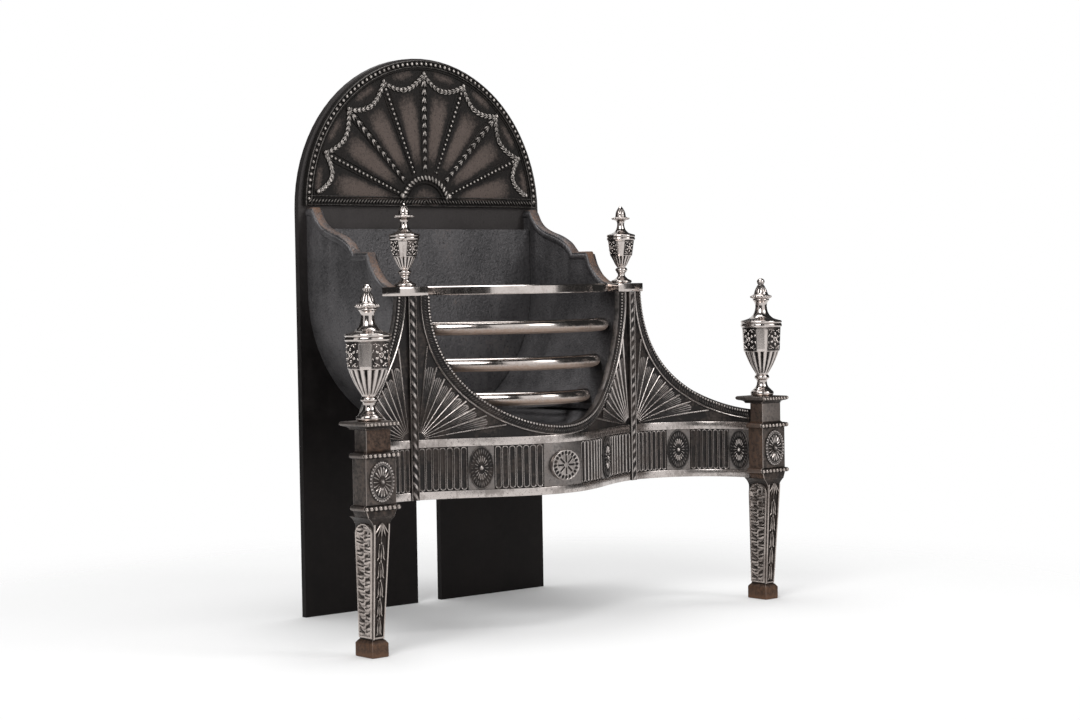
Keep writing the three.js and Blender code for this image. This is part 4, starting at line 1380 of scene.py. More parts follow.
def petals(
    clay: Clay,
    size: tuple[float, float],
    span: tuple[float, float],
    count: int,
    body: tuple[float, float],
    polish: tuple[float, float],
    depth: float,
) -> None:
    """Adds a ring of petals to a patera.

    Args:
        clay: the piece.
        size: half the patera's width and height.
        span: where the petals start and end, as shares of that size.
        count: how many there are.
        body: half their width for their pitch, and their height.
        polish: the polish at their foot and on their top.
        depth: the depth that they stand on.
    """
    for i in range(count):
        a = 2 * math.pi * i / count
        edge = np.array([math.cos(a) * size[0], math.sin(a) * size[1]])
        reach = edge * (span[1] - span[0])
        middle = edge * (span[0] + span[1]) / 2
        pitch = 2 * math.pi * np.linalg.norm(middle) / count
        turn = math.atan2(reach[1], reach[0]) + math.pi
        half = (np.linalg.norm(reach) / 2, min(2.6, pitch * 0.36 * body[0]), body[1])
        clay.blob((middle[0], middle[1], depth), half, turn, 0.5, polish)


# ---------------------------------------------------------------- back plate, fan and firebox


@dataclass
class FanPanel:
    """The half-round relief panel on the head of the back plate."""

    radius: float = 253.0
    base: float = 684.5
    seat: float = GAP
    thickness: float = 6.0
    bead_radius: float = 246.0
    beads: int = 74
    fields: int = 8
    line_start: float = 60.0
    line_end: float = 219.0
    swag_radius: float = 228.0
    swag_sag: float = 24.0
    swag_inset: float = 5.6
    hub: float = 50.0
    border: float = 17.5
    border_ropes: int = 78

    def build(self) -> None:
        """Builds the panel and all its relief."""
        front = self.seat + self.thickness
        clay = Clay(lambda flat: flat + (0, self.base, front))
        self.plate(clay)
        self.rim(clay)
        pitch = 180 / self.fields
        for i in range(1, self.fields):
            self.line(clay, math.radians(pitch * i), beaded=bool(i % 2))
        for i in range(self.fields):
            ends = np.clip((pitch * i, pitch * (i + 1)), self.swag_inset, 180 - self.swag_inset)
            self.swag(clay, *ends)
        self.hub_leaves(clay)
        clay.piece("fan_relief", FAN_IRON, ["fan_panel"])

    def plate(self, clay: Clay) -> None:
        """Adds the plate itself, stained inside each field, under the swags and at the hub.

        Args:
            clay: the piece.
        """
        a = np.linspace(0, math.pi, 129)[:, None]
        r = np.linspace(0.5, self.radius, 31)
        share = np.abs((np.degrees(a) / (180 / self.fields)) % 1 - 0.5) * 2
        middle = np.exp(-((share / 0.62) ** 4) - ((r - 135) / 62) ** 4) * 0.88
        outer = np.exp(-((share / 0.6) ** 4) - ((r - self.swag_radius) / 9) ** 4) * 0.7
        hub = (np.sin(a) > 0.1) * np.exp(-(((r - 20) / 15) ** 4)) * 0.6
        stain = np.maximum(np.maximum(middle, outer), hub)
        face = columns(np.cos(a) * r, np.sin(a) * r, 0.0)
        rear = face[:, ::-1] - (0, 0, self.thickness)
        stain = np.concatenate([stain, np.zeros_like(stain)], 1)
        clay.loft(np.concatenate([face, rear], 1), 0.12, rub=stain)

    def rim(self, clay: Clay) -> None:
        """Adds the beaded rim, its fillets and the roped lower border.

        Args:
            clay: the piece.
        """
        for radius, width, height, high in (
            (self.bead_radius + 5, 2.8, 3.0, 0.6), (self.bead_radius - 5.4, 2.6, 3.2, 0.6),
            (self.bead_radius - 10.4, 1.4, 1.4, 0.3),
        ):
            clay.sweep(circle(0, 0, radius, 0, 180, 120), ridge(width, height, high, 0.15))
        for s, h in spaced(circle(0, 0, self.bead_radius, 1.5, 178.5, 160), self.beads)[0]:
            clay.blob((s, h, 0.8), (3.5, 3.5, 4.0), polish=(0.0, 1.05))
        reach = self.radius - 4
        for h, height in ((1.6, 3.4), (self.border - 1.4, 3.0)):
            clay.sweep([(-reach, h), (reach, h)], ridge(2.4, height, 0.6, 0.1))
        for s in np.linspace(6 - reach, reach - 6, self.border_ropes):
            lean = 0.85 if s < 0 else math.pi - 0.85
            clay.blob((s, self.border / 2, 0.4), (6.0, 1.9, 3.0), lean, polish=(0.0, 0.7))

    def line(self, clay: Clay, angle: float, beaded: bool) -> None:
        """Adds one radiating line, of beads or of husks, between two fine borders.

        Args:
            clay: the piece.
            angle: its direction.
            beaded: whether it is of beads.
        """
        c, n = math.cos(angle), math.sin(angle)
        path = np.outer((self.line_start, self.line_end), (c, n))
        for side in (-1, 1):
            border = path + np.outer((4.2, 7.6), (-n, c)) * side
            clay.sweep(border, ridge(1.5, 1.5, 0.45, 0.1))
        count = 18 if beaded else 11
        for k, (s, h) in enumerate(spaced(path, count)[0]):
            grow = 0.78 + 0.28 * k / count
            if beaded:
                clay.blob((s, h, 0.5), (3.2 * grow, 3.2 * grow, 4.0 * grow), polish=(0.0, 1.05))
            else:
                clay.husk((s + c * 6, h + n * 6, 0.6), 13.5 * grow, angle + math.pi, 0.5)

    def swag(self, clay: Clay, start: float, end: float) -> None:
        """Adds one hanging swag of husks, with a knot where it is tied up.

        Args:
            clay: the piece.
            start: its first angle in degrees.
            end: its last angle in degrees.
        """
        t = np.linspace(0, 1, 40)
        a = np.radians(start + (end - start) * t)
        r = self.swag_radius - self.swag_sag * np.sin(math.pi * t) ** 0.8
        path = columns(r * np.cos(a), r * np.sin(a))
        places, turns = spaced(path, 11)
        for k, ((s, h), turn) in enumerate(zip(places, turns)):
            towards = turn if k <= 5 else turn + math.pi
            stem = (s - math.cos(towards) * 4.5, h - math.sin(towards) * 4.5, 1.0)
            clay.husk(stem, 11.5, towards, 0.6)
        for s, h in (path[0], path[-1]):
            clay.blob((s, h + 1, 1.4), (4.2, 4.2, 5.0), polish=(0.1, 1.05))

    def hub_leaves(self, clay: Clay) -> None:
        """Adds the half ring of leaves from which the lines spring.

        Args:
            clay: the piece.
        """
        clay.sweep(circle(0, 0, 40, 8, 172, 40), ridge(2.2, 2.6, 0.35, 0.1))
        clay.sweep(circle(0, 0, self.hub, 14, 166, 40), ridge(9.0, 3.0, 0.5, 0.1))
        places, turns = spaced(circle(0, 0, self.hub, 16, 164, 60), 17)
        for (s, h), turn in zip(places, turns):
            clay.blob((s, h, 1.8), (6.2, 3.6, 3.4), turn + math.pi / 2 + 0.5, 0.3, (0.1, 1.0))
        for s in (-self.hub - 1, self.hub + 1):
            clay.blob((s, self.border + 1, 1.8), (6.0, 6.0, 5.0), polish=(0.2, 1.0))


@dataclass
class Firebox:
    """The cheeks, the liner, the bars and the top bar of the fire basket."""

    centre: float = 540.0
    inner: float = 228.0
    wall: float = 18.0
    end: float = 76.0
    ledge: float = 22.0
    ledge_height: float = 8.0
    liner_top: float = 646.0
    liner_thick: float = 17.0
    grate_low: float = 348.6
    block_rear: float = 225.5
    block_front: float = 272.5
    block_low: float = 533.0
    block_high: float = 547.5
    block_inner: float = 205.5
    block_outer: float = 262.0
    bar_radius: float = 11.0
    bar_end: float = 5.0
    top_bow: float = 225.0
    bar_forward: float = 345.0
    bar_turn: float = 49.0
    bars: tuple = (("upper", 480.0, 225.0), ("middle", 421.0, 180.0), ("lower", 365.0, 126.0))
    ogee: tuple = (
        (0.3, 681), (16, 681), (24, 667), (40, 651), (62, 641), (90, 633), (112, 622),
        (124, 610), (127, 604), (165, 604), (172, 586), (188, 566), (206, 553), (224.5, 548),
    )

    def build(self, front: Front) -> None:
        """Builds the basket.

        Args:
            front: the front, which the cheeks butt against.
        """
        self.liner()
        for side in Side:
            self.cheek(side, front)
            self.top_block(side)
        for name, height, bow in self.bars:
            self.round_bar(name, height, bow)
        self.top_bar()

    def liner(self) -> None:
        """Builds the fire-back inside the cheeks."""
        radius = self.inner - GAP
        foot = math.degrees(math.asin((self.centre - self.grate_low) / radius))
        edge = np.vstack([
            [(-radius, self.liner_top)], circle(0, self.centre, radius, 180, 180 + foot, 40),
            circle(0, self.centre, radius, 360 - foot, 360, 40), [(radius, self.liner_top)],
        ])
        clay = Clay()
        soft = 1.6
        middle = np.array([0, self.centre])
        inset = middle + (edge - middle) * (1 - soft / radius)
        face = GAP + self.liner_thick
        layers = ((edge, GAP), (edge, face - soft), (inset, face))
        rings = np.stack([columns(*flat.T, depth) for flat, depth in layers])
        clay.loft(rings, np.array([[0.0], [0.1], [0.25]]))
        clay.piece("fire_back", FIRE_IRON, ["firebox_liner"])

    def cheek(self, side: Side, front: Front) -> None:
        """Builds one shaped side of the basket.

        Args:
            side: which side it stands on.
            front: the front that it butts against.
        """
        clay = Clay(lambda flat: flat * (side.value, 1, 1))
        top, hollow = softened(self.ogee[1:9]), softened(self.ogee[9:])
        last = (self.block_rear - 0.6, self.block_low - GAP)
        butt = front.thickness + GAP
        stop = float(front.plan.forward_at(self.inner + self.wall / 2)) - butt
        profile = np.vstack([[self.ogee[0]], top, hollow, [last], [(stop, last[1])]])
        outer, inner = self.inner + self.wall, self.inner
        soft = 3.0
        shelf = self.grate_low - GAP
        shelf_turn, under_turn = (
            math.degrees(math.asin((self.centre - h) / inner))
            for h in (shelf, shelf - self.ledge_height)
        )
        edge = inner * math.cos(math.radians(shelf_turn)) - self.ledge
        low_out = circle(0, self.centre, outer, 0, -self.end, 36)
        under = circle(0, self.centre, inner, -self.end, -under_turn - 1, 8)
        low_in = circle(0, self.centre, inner, -shelf_turn, 0, 24)
        lip_edge = [(edge, shelf - self.ledge_height), (edge, shelf)]
        section = np.vstack([low_out, under, lip_edge, low_in])
        ends = front.plan.forward_at(section[:, 0]) - butt
        lip_x, lip_drop, rust = np.array([
            (inner, soft, 0.2), (inner + soft * 0.4, soft * 0.3, 0.6), (inner + soft, 0, 0.62),
            (outer - soft, 0, 0.62), (outer - soft * 0.4, soft * 0.3, 0.6), (outer, soft, 0.2),
        ]).T
        rings = []
        for f, h in profile:
            reach = GAP + (f - GAP) * (ends - GAP) / (stop - GAP)
            lip = columns(lip_x, h - lip_drop, f)
            rings.append(np.vstack([lip, columns(*section.T, reach)]))
        clay.loft(np.array(rings), np.concatenate([rust, np.zeros(len(section))]))
        line = profile[:-2] - (0, 9)
        for face, out in ((outer, 1), (inner, -1)):
            band = Clay(lambda flat, face=face, out=out: columns(
                side.value * (face + out * flat[:, 2]), flat[:, 1], flat[:, 0]
            ))
            band.sweep(line, ridge(9.0, 2.4, 0.3, 0.05))
            clay.merge(band)
        clay.piece(f"basket_cheek_{side.label}", FIRE_IRON, [f"cheek_{side.label}"])

    def top_block(self, side: Side) -> None:
        """Builds the block that carries an upper urn, with its edges softened and rubbed.

        Args:
            side: which side it stands on.
        """
        left, right = sorted(side.value * x for x in (self.block_inner, self.block_outer))
        rear, front = self.block_rear, self.block_front
        soft = 1.0
        steps = [(0.0, soft), (soft * 0.3, soft * 0.3), (soft, 0.0)]
        levels = [(self.block_low + up, i) for up, i in steps]
        levels += [(self.block_high - up, i) for up, i in steps[::-1]]
        rings = [rounded(left + i, right - i, rear + i, front - i, soft, h) for h, i in levels]
        polish = np.array([[0.85], [1.0], [0.85], [0.85], [1.0], [0.85]])
        clay = Clay()
        clay.loft(np.array(rings), polish)
        clay.piece(f"urn_block_{side.label}", BRIGHT_STEEL, [f"top_block_{side.label}"])

    def bow(self, bow: float, offset: float, end_x: float, steps: int) -> np.ndarray:
        """Draws the plan of a bowed bar: straight, round the bow, straight.

        Args:
            bow: the radius of the bow's centre line.
            offset: how far outside that line.
            end_x: where the straights end.
            steps: steps in half the bow.

        Returns:
            Rows of x and distance forward.
        """
        radius, turn = bow + offset, math.radians(self.bar_turn)
        centre = self.bar_forward - bow
        arc = circle(0, centre, radius, 90 - self.bar_turn, 90, steps)
        end = (end_x, arc[0, 1] - (end_x - arc[0, 0]) * math.tan(turn))
        half = np.vstack([[end], arc])
        return np.vstack([half, half[-2::-1] * (-1, 1)])

    def round_bar(self, name: str, height: float, bow: float) -> None:
        """Builds one round bar across the mouth.

        Args:
            name: upper, middle or lower.
            height: its height.
            bow: its bow's radius.
        """
        drop = self.centre - height
        wall_x = math.sqrt(self.inner ** 2 - drop ** 2) + self.bar_end
        path = self.bow(bow, 0, wall_x, 30)
        step = np.gradient(path, axis=0)
        step /= np.linalg.norm(step, axis=1, keepdims=True)
        (x, f), (dx, df) = path.T[:, :, None], step.T[:, :, None]
        a = np.linspace(0, 2 * math.pi, 33)[:-1]
        up, out = np.sin(a), np.cos(a) * self.bar_radius
        clay = Clay()
        # painted reflection: the lower half takes the rubbed pinkish colour, as the pale floor
        # mirrored in the bar
        under = np.clip(0.5 - 1.2 * up, 0, 1)
        # painted highlight: a bright band of polish along the upper front of the bar
        shade = 0.62 + 0.25 * np.exp(-(((up - 0.45) / 0.3) ** 2))
        # painted shade: darker polish along the underside
        shade -= 0.35 * np.clip(-up - 0.7, 0, 0.3) / 0.3
        rings = columns(x - df * out, height + up * self.bar_radius, f + dx * out)
        clay.loft(rings, shade, rub=0.85 * under)
        clay.piece(f"fire_bar_{name}", BRIGHT_STEEL, [f"round_bar_{name}"])

    def top_bar(self) -> None:
        """Builds the flat bar between the urn blocks."""
        low, high = self.block_low + 0.5, self.block_high
        half, soft = self.bar_radius, 1.4
        section = (
            (-half, low + soft), (soft - half, low), (half - soft, low), (half, low + soft),
            (half, high - soft), (half - soft, high), (soft - half, high), (-half, high - soft),
        )
        lines = []
        for offset, h in section:
            x, f = self.bow(self.top_bow, offset, self.block_inner - GAP, 30).T
            lines.append(columns(x, h, f))
        clay = Clay()
        clay.loft(np.stack(lines, 1), np.array([0.9, 1.0, 1.0, 0.9, 0.9, 1.0, 1.0, 0.9]))
        clay.piece("flat_top_bar", BRIGHT_STEEL, ["top_bar"])


# ---------------------------------------------------------------- legs


@dataclass
class Legs:
    """The two front legs: foot and shaft, die block, cap and patera."""

    at: float = 420.5
    foot_half: float = 15.0
    foot: tuple[float, float] = (374.0, 417.0)
    foot_top: float = 26.0
    sunk: float = 1.6
    neck_half: float = 11.5
    neck: tuple[float, float] = (378.5, 412.5)
    head_half: float = 16.0
    head: tuple[float, float] = (378.6, 425.6)
    flare_low: float = 195.6
    top: float = 209.6
    die_half: float = 27.5
    die: tuple[float, float] = (392.0, 425.6)
    die_low: float = 226.7
    die_high: float = 296.3
    bead_half: float = 33.5
    bead_front: float = 431.6
    upper_half: float = 22.5
    upper_front: float = 421.0
    upper_high: float = 337.7
    cap_half: float = 31.3
    cap: tuple[float, float] = (364.7, 434.3)
    cap_low: float = 338.0
    cap_high: float = 350.0
    cap_root: float = 380.0
    patera: tuple[float, float] = (22.0, 30.0)
    stems: tuple = (169.0, 141.5, 113.0, 85.0, 56.5)

    def build(self) -> None:
        """Builds both legs."""
        for side in Side:
            self.shaft(side)
            self.die_block(side)
            self.cap_slab(side)
            self.oval(side)

    def taper(self, h: np.ndarray) -> tuple[np.ndarray, np.ndarray, np.ndarray]:
        """Finds the shaft's size at a height.

        Args:
            h: heights.

        Returns:
            Half its width, its rear and its front there.
        """
        span = (self.foot_top, self.flare_low)
        half = np.interp(h, span, (self.neck_half, self.head_half))
        rear = np.interp(h, span, (self.neck[0], self.head[0]))
        front = np.interp(h, span, (self.neck[1], self.head[1]))
        return half, rear, front

    def shaft(self, side: Side) -> None:
        """Builds a foot and shaft, with a sunk husk panel in front and leafy panels at the sides.

        Args:
            side: which leg it belongs to.
        """
        clay = Clay()
        at, sunk = side.value * self.at, self.sunk
        (foot_rear, foot_front), (neck_rear, neck_front) = self.foot, self.neck
        # height, half the width, rear, front, polish and rust
        rows = [
            (0, self.foot_half - 1, foot_rear + 1, foot_front - 1, 0.1, 0.8),
            (1.2, self.foot_half, foot_rear, foot_front, 0.15, 0.85),
            (10, self.foot_half, foot_rear, foot_front, 0.15, 0.6),
            (20, self.foot_half, foot_rear, foot_front, 0.15, 0.68),
            (21.5, self.foot_half - 0.6, foot_rear + 0.8, foot_front - 0.8, 0.4, 0.6),
            (25, self.neck_half + 0.6, neck_rear - 0.5, neck_front + 0.7, 0.3, 0.5),
            (26.5, self.neck_half - sunk, neck_rear, neck_front - sunk, 0.1, 0.35),
        ]
        for h in np.linspace(34, self.flare_low, 6):
            half, rear, front = (float(v) for v in self.taper(np.array(h)))
            rows.append((h, half - sunk, rear, front - sunk, 0.08, 0.2 * (h < 70)))
        for share, grow in ((0.25, 0.12), (0.5, 0.34), (0.75, 0.66), (0.95, 1.0), (1.0, 1.0)):
            h = self.flare_low + (self.top - self.flare_low) * share
            half = self.head_half - sunk + (self.die_half - 3 - self.head_half + sunk) * grow
            front = self.head[1] - sunk + sunk * grow
            rows.append((h, half, self.head[0], front, 0.12 + 0.2 * grow, 0.15))
        rings = [rounded(at - half, at + half, *fs, 0.8, h) for h, half, *fs, _, _ in rows]
        shade = np.array([edged(p, max(p, 0.75)) for *_, p, _ in rows])
        clay.loft(np.array(rings), shade, rub=np.array([[rust] for *_, rust in rows]))
        self.front_panel(clay, at)
        for way in (-1, 1):
            self.side_panel(clay, at, way)
        clay.piece(f"leg_casting_{side.label}", LEG_PATINA, [f"leg_shaft_{side.label}"])

    def front_panel(self, clay: Clay, at: float) -> None:
        """Adds the raised border and the chain of husks to a shaft's front.

        Args:
            clay: the piece.
            at: the leg's x.
        """
        def warp(flat: np.ndarray) -> np.ndarray:
            """Carries flat points on to the front."""
            s, h, d = flat.T
            return columns(at + s, h, self.taper(h)[2] - self.sunk + d)

        relief = Clay(warp)
        h = np.linspace(27, self.flare_low + 3, 14)
        half = self.taper(h)[0] - self.sunk
        for way in (-1, 1):
            path = columns(way * (half - 1.1), h)
            relief.sweep(path, flat_bar(-1.1, 1.1, 2.4, 1.05, 0.4))
        relief.sweep([(-half[0], 29), (half[0], 29)], flat_bar(-1.4, 1.4, 2.2, 0.8, 0.3))
        for height in self.stems:
            self.bell(relief, height, 24.0, 3.4 + 3.4 * (height - 26) / 170)
        relief.sweep([(0, 34), (0, 200)], ridge(1.3, 1.2, 0.6, 0.1))
        for turn in (-0.62, -0.32, 0, 0.32, 0.62):
            mid = (math.sin(turn) * 12, self.flare_low + 6 - math.cos(turn) * 12, 0.7)
            relief.blob(mid, (12.5, 1.9, 2.6), turn - math.pi / 2, 0.6, (0.0, 1.05))
        clay.merge(relief)

    @staticmethod
    def bell(relief: Clay, height: float, length: float, width: float) -> None:
        """Adds one long bell-flower that hangs on the shaft's front.

        Args:
            relief: the front's relief.
            height: the height of its stem.
            length: its length.
            width: half its width at its mouth.
        """
        edge = softened([(0.4, 0), (0.62, 0.3), (0.75, 0.62), (0.62, 0.82), (1.15, 1.0)])
        share = np.linspace(0, 1, len(edge))
        taper = np.interp(share, (0, 0.4, 0.85, 1), (0.4, 1, 1, 0.5))
        for way in (-1, 1):
            path = columns(way * edge[:, 0] * width, height - edge[:, 1] * length)
            relief.sweep(path, ridge(2.3, 2.7, 1.05, 0.05), taper=taper)
        clapper = (length * 0.42, width * 0.3, 2.6)
        down = -math.pi / 2
        relief.blob((0, height - length * 0.66, 0.4), clapper, down, 0.1, (0.0, 0.85))
        relief.blob((0, height + 1.8, 0.6), (2.4, 1.5, 2.2), -down, polish=(0.1, 1.0))

    def side_panel(self, clay: Clay, at: float, way: int) -> None:
        """Adds the arched border and the rippled leaves to a shaft's side.

        Args:
            clay: the piece.
            at: the leg's x.
            way: -1 for the left side, 1 for the right.
        """
        def half_depth(h: np.ndarray) -> np.ndarray:
            """Returns half the shaft's depth at a height."""
            _, rear, front = self.taper(h)
            return (front - rear) / 2

        def warp(flat: np.ndarray) -> np.ndarray:
            """Carries flat points on to the side.

            Args:
                flat: rows of share across the depth (-1 to 1), height and depth of relief.

            Returns:
                The points in elevation space.
            """
            s, h, d = flat.T
            half, rear, front = self.taper(h)
            front = front - self.sunk
            forward = (rear + front) / 2 + s * (front - rear) / 2
            return columns(at + way * (half - self.sunk + d), h, forward)

        relief = Clay(warp)
        spring = self.flare_low - 12
        arch = circle(0, 0, 1, 0, 180, 12) * (0.86, 15) + (0, spring)
        path = np.vstack([[(0.86, 30)], arch, [(-0.86, 30)]])
        path[:, 0] *= half_depth(path[:, 1])
        band = Clay()
        band.sweep(path, flat_bar(-1.7, 1.7, 2.6, 1.05, 0.5), closed=True)
        flat = np.vstack(band.points)
        flat[:, 0] /= half_depth(flat[:, 1])
        relief.add(flat, band.faces, np.vstack(band.marks)[:, 0])
        h = np.arange(31, spring + 13.5, 1.1)[None, :]
        u = np.linspace(-1, 1, 23)[:, None]
        wide = 0.8 * np.sqrt(1 - (np.clip(h - spring, 0, 13.5) / 14.5) ** 2)
        lean = 0.5 * (u > 0)
        turn = h / 17.5 - 0.42 * np.abs(u) ** 1.4 + lean + 0.06 * np.sin(h / 5.3 + 3 * u)
        body = np.abs(np.sin(math.pi * turn)) ** 0.55
        frill = 0.5 + 0.5 * np.cos(2 * math.pi * (3 * turn + 1.2 * np.abs(u)))
        depth = 0.2 + 1.7 * body * (0.6 + 0.4 * np.abs(u)) + 0.9 * frill * body
        depth = depth + 0.7 * np.exp(-((u / 0.12) ** 2))
        relief.sheet(u * wide, h, depth, np.clip(depth / 2.3, 0, 1.2) ** 1.6 * 1.5)
        clay.merge(relief)

    def die_block(self, side: Side) -> None:
        """Builds the die between its two beaded mouldings, and the plain block above it.

        Args:
            side: which leg it belongs to.
        """
        clay = Clay()
        at, (rear, front) = side.value * self.at, self.die
        mouldings = (self.die_low - 4, self.die_high + 4)
        # height, half the width, front and polish
        rows = [
            (self.top + GAP, self.die_half - 3, front, 0.4),
            (self.die_low - 8.5, self.die_half, front, 0.35),
            (self.die_low + 1, self.die_half, front, 0.5),
            (self.die_high - 1, self.die_half, front, 0.5),
            (self.die_high + 11, self.upper_half, self.upper_front, 0.5),
            (self.upper_high, self.upper_half, self.upper_front, 0.55),
        ]
        for middle, after in zip(mouldings, (self.die_half, self.upper_half)):
            rows.append((middle - 4.2, self.die_half, front, 0.25))
            for a in np.linspace(0, math.pi, 7):
                out, up = math.sin(a), -math.cos(a)
                plain = self.die_half if up < 0.1 else after
                half = max(plain, self.bead_half - 4 + 4 * out)
                rows.append((middle + 4 * up, half, front - 1 + 2.8 * out, 0.3 + 0.35 * out))
            rows.append((middle + 4.2, after + 2, front - 2, 0.2))
        rows.sort(key=lambda row: row[0])
        rings = [rounded(at - half, at + half, rear, f, 0.9, h) for h, half, f, _ in rows]
        shade = np.array([edged(p * 0.8, 0.95) for *_, p in rows])
        stain = np.array([edged(0.3, 0.2) for _ in rows])
        upper = [h > self.die_high + 10 for h, *_ in rows]
        # the points of rounded() at the ends of the front face and of the left one
        front_face, left_face = [3, 4], [7, 8]
        if side is Side.LEFT:
            stained, side_stain, front_polish = front_face, 0.3, 0.3
        else:
            stained, side_stain, front_polish = left_face, 0.55, 0.6
        stain[:, left_face] = side_stain
        stain[np.ix_(upper, stained)] = 0.5
        shade[np.ix_(upper, front_face)] = front_polish
        clay.loft(np.array(rings), shade, rub=stain)
        reach = self.bead_half - 4
        for middle in mouldings:
            place = (middle, self.bead_front - 3.8)
            clay.bead_row((at - reach, at + reach), 8, place, (3.9, 3.8))
        clay.piece(f"leg_block_{side.label}", LEG_PATINA, [f"leg_die_{side.label}"])

    def cap_slab(self, side: Side) -> None:
        """Builds the cap that carries a lower urn, beaded along its front.

        Args:
            side: which leg it belongs to.
        """
        clay = Clay()
        at, (rear, front) = side.value * self.at, self.cap
        root = self.upper_half + 1
        # height, half the width, rear, front and polish
        rows = [(self.cap_low, root, self.cap_root, self.upper_front, 0.3)]
        for a in np.linspace(0, math.pi / 2, 5):
            up, share = self.cap_low + 0.5 + 4.2 * math.sin(a), 1 - math.cos(a)
            half = root + (self.cap_half - 4 - root) * share
            rows.append((up, half, self.cap_root - 12 * share, self.upper_front + 9 * share, 0.4))
        middle = self.cap_high - 3.4
        for a in np.linspace(-math.pi / 2, math.pi / 2, 7):
            up, out = middle + 3.3 * math.sin(a), math.cos(a)
            half = self.cap_half - 3 + 3 * out
            rows.append((up, half, rear + 3 - 3 * out, front - 4 + 2 * out, 0.42 + 0.35 * out))
        rows.append((self.cap_high, self.cap_half - 4, rear + 4, front - 5, 0.7))
        rings = [rounded(at - half, at + half, *fs, 1.2, h) for h, half, *fs, _ in rows]
        shade = np.array([edged(p * 0.7, p + 0.2) for *_, p in rows])
        clay.loft(np.array(rings), shade, rub=0.25)
        reach = self.cap_half - 3.6
        clay.bead_row((at - reach, at + reach), 9, (middle, front - 2.8), (3.2, 2.9))
        clay.piece(f"leg_cap_slab_{side.label}", LEG_PATINA, [f"leg_cap_{side.label}"])

    def oval(self, side: Side) -> None:
        """Builds the upright oval patera on a die's front.

        Args:
            side: which leg it belongs to.
        """
        wide, tall = self.patera
        middle = (self.die_low + self.die_high) / 2
        place = (side.value * self.at, middle, self.die[1] + GAP)
        clay = Clay(lambda flat: flat + place)
        dome(clay, wide, tall, [
            (1, -0.2, 0.3), (1, 1.4, 0.4), (0.9, 2.2, 0.3), (0.5, 2.0, 0.12), (0.05, 2.4, 0.12),
        ])
        for s, h in circle(0, 0, 0.95, 0, 360, 34)[:-1] * self.patera:
            clay.blob((s, h, 1.6), (2.1, 2.1, 2.3), polish=(0.1, 1.0))
        ring = circle(0, 0, 1, 0, 360, 44)[:-1] * (wide * 0.83, tall * 0.85)
        clay.sweep(ring, ridge(1.5, 1.4, 0.7, 0.2, 1.6), closed=True)
        petals(clay, (wide, tall), (0.26, 0.78), 18, (1.1, 3.2), (0.0, 1.35), 2.0)
        clay.blob((0, 0, 2.6), (4.6, 5.2, 3.2), polish=(0.0, 0.5))
        clay.blob((0, 0, 4.0), (2.6, 2.8, 3.2), polish=(0.3, 1.0))
        clay.piece(f"leg_oval_{side.label}", FRONT_STEEL, [f"leg_patera_{side.label}"])


# ---------------------------------------------------------------- urns


@dataclass(frozen=True)
class UrnPattern:
    """One size of urn: profiles as radius and height, and the places of its ornaments."""

    foot: tuple
    bowl: tuple
    frieze: tuple
    lid: tuple
    tip: float
    bud: float
    patch: tuple[float, float]
    collar: float


LOWER_URN = UrnPattern(
    foot=(
        (17, 0), (19.4, 1.6), (20, 4.5), (19.2, 7.8), (16.4, 9.4), (15.6, 11), (11, 15),
        (8.9, 20), (8.6, 24), (9.4, 27.8), (12.2, 29.4), (12.9, 31.6), (12.2, 34.2), (10.5, 36),
    ),
    bowl=(
        (10, 36.3), (10.8, 38), (16.5, 47), (21, 55), (24.6, 63), (28, 71), (29.6, 76),
    ),
    frieze=(
        (30.4, 76.6), (31.2, 79), (31.2, 91), (32, 106), (33, 117.5), (34.9, 119),
        (35.3, 121.4), (34.8, 123.6), (33.6, 124.6), (34.8, 125.6), (35.3, 127.4),
        (34.4, 129.4), (31, 130),
    ),
    lid=(
        (30, 130.3), (25, 131.6), (20, 133.6), (14.6, 138.4), (11.2, 145), (9.8, 153),
        (10.2, 159), (12.6, 163), (14.6, 164.6), (13.4, 166.4), (16.4, 167.6), (17.2, 170.2),
        (16.2, 172.8), (12.8, 173.8), (12, 176), (9.6, 183), (6.2, 189.4), (4.4, 191.2),
        (6.2, 193.4), (7, 196.4), (5.6, 199.8), (2.6, 201.6),
    ),
    tip=202.0, bud=176.0, patch=(13.4, 98.0), collar=170.2,
)
UPPER_URN = UrnPattern(
    foot=(
        (15.6, 0), (17.4, 1.2), (17.7, 3), (16.6, 5), (13, 6.2), (9.8, 8.4), (6.6, 12),
        (5.8, 14), (7, 17.4), (9, 18.8), (8.4, 20), (10.2, 21.4), (10.4, 23.4), (9.4, 25.4),
        (7.6, 26.5),
    ),
    bowl=(
        (7.2, 26.8), (7.8, 28), (10.6, 32), (13.5, 38), (16.4, 43.5), (17.8, 46),
    ),
    frieze=(
        (18.4, 46.6), (18.9, 48), (20.6, 57.5), (21.6, 66), (22.4, 72.5), (24, 74), (24.4, 76),
        (24, 77.6), (23, 78.6), (24.2, 79.4), (24.5, 80.8), (24, 82.6), (21.5, 83.4),
    ),
    lid=(
        (20.6, 83.7), (17, 84.6), (13, 86.2), (8.6, 90.6), (6.5, 96), (5.9, 101), (6.6, 105),
        (9.4, 107.4), (13, 108.8), (14.3, 110.4), (13.2, 112.2), (9.2, 113.2), (8.8, 116),
        (8.6, 119), (7.2, 123.2), (4.8, 127.6), (2.4, 130.6),
    ),
    tip=132.0, bud=119.0, patch=(8.6, 60.5), collar=110.4,
)


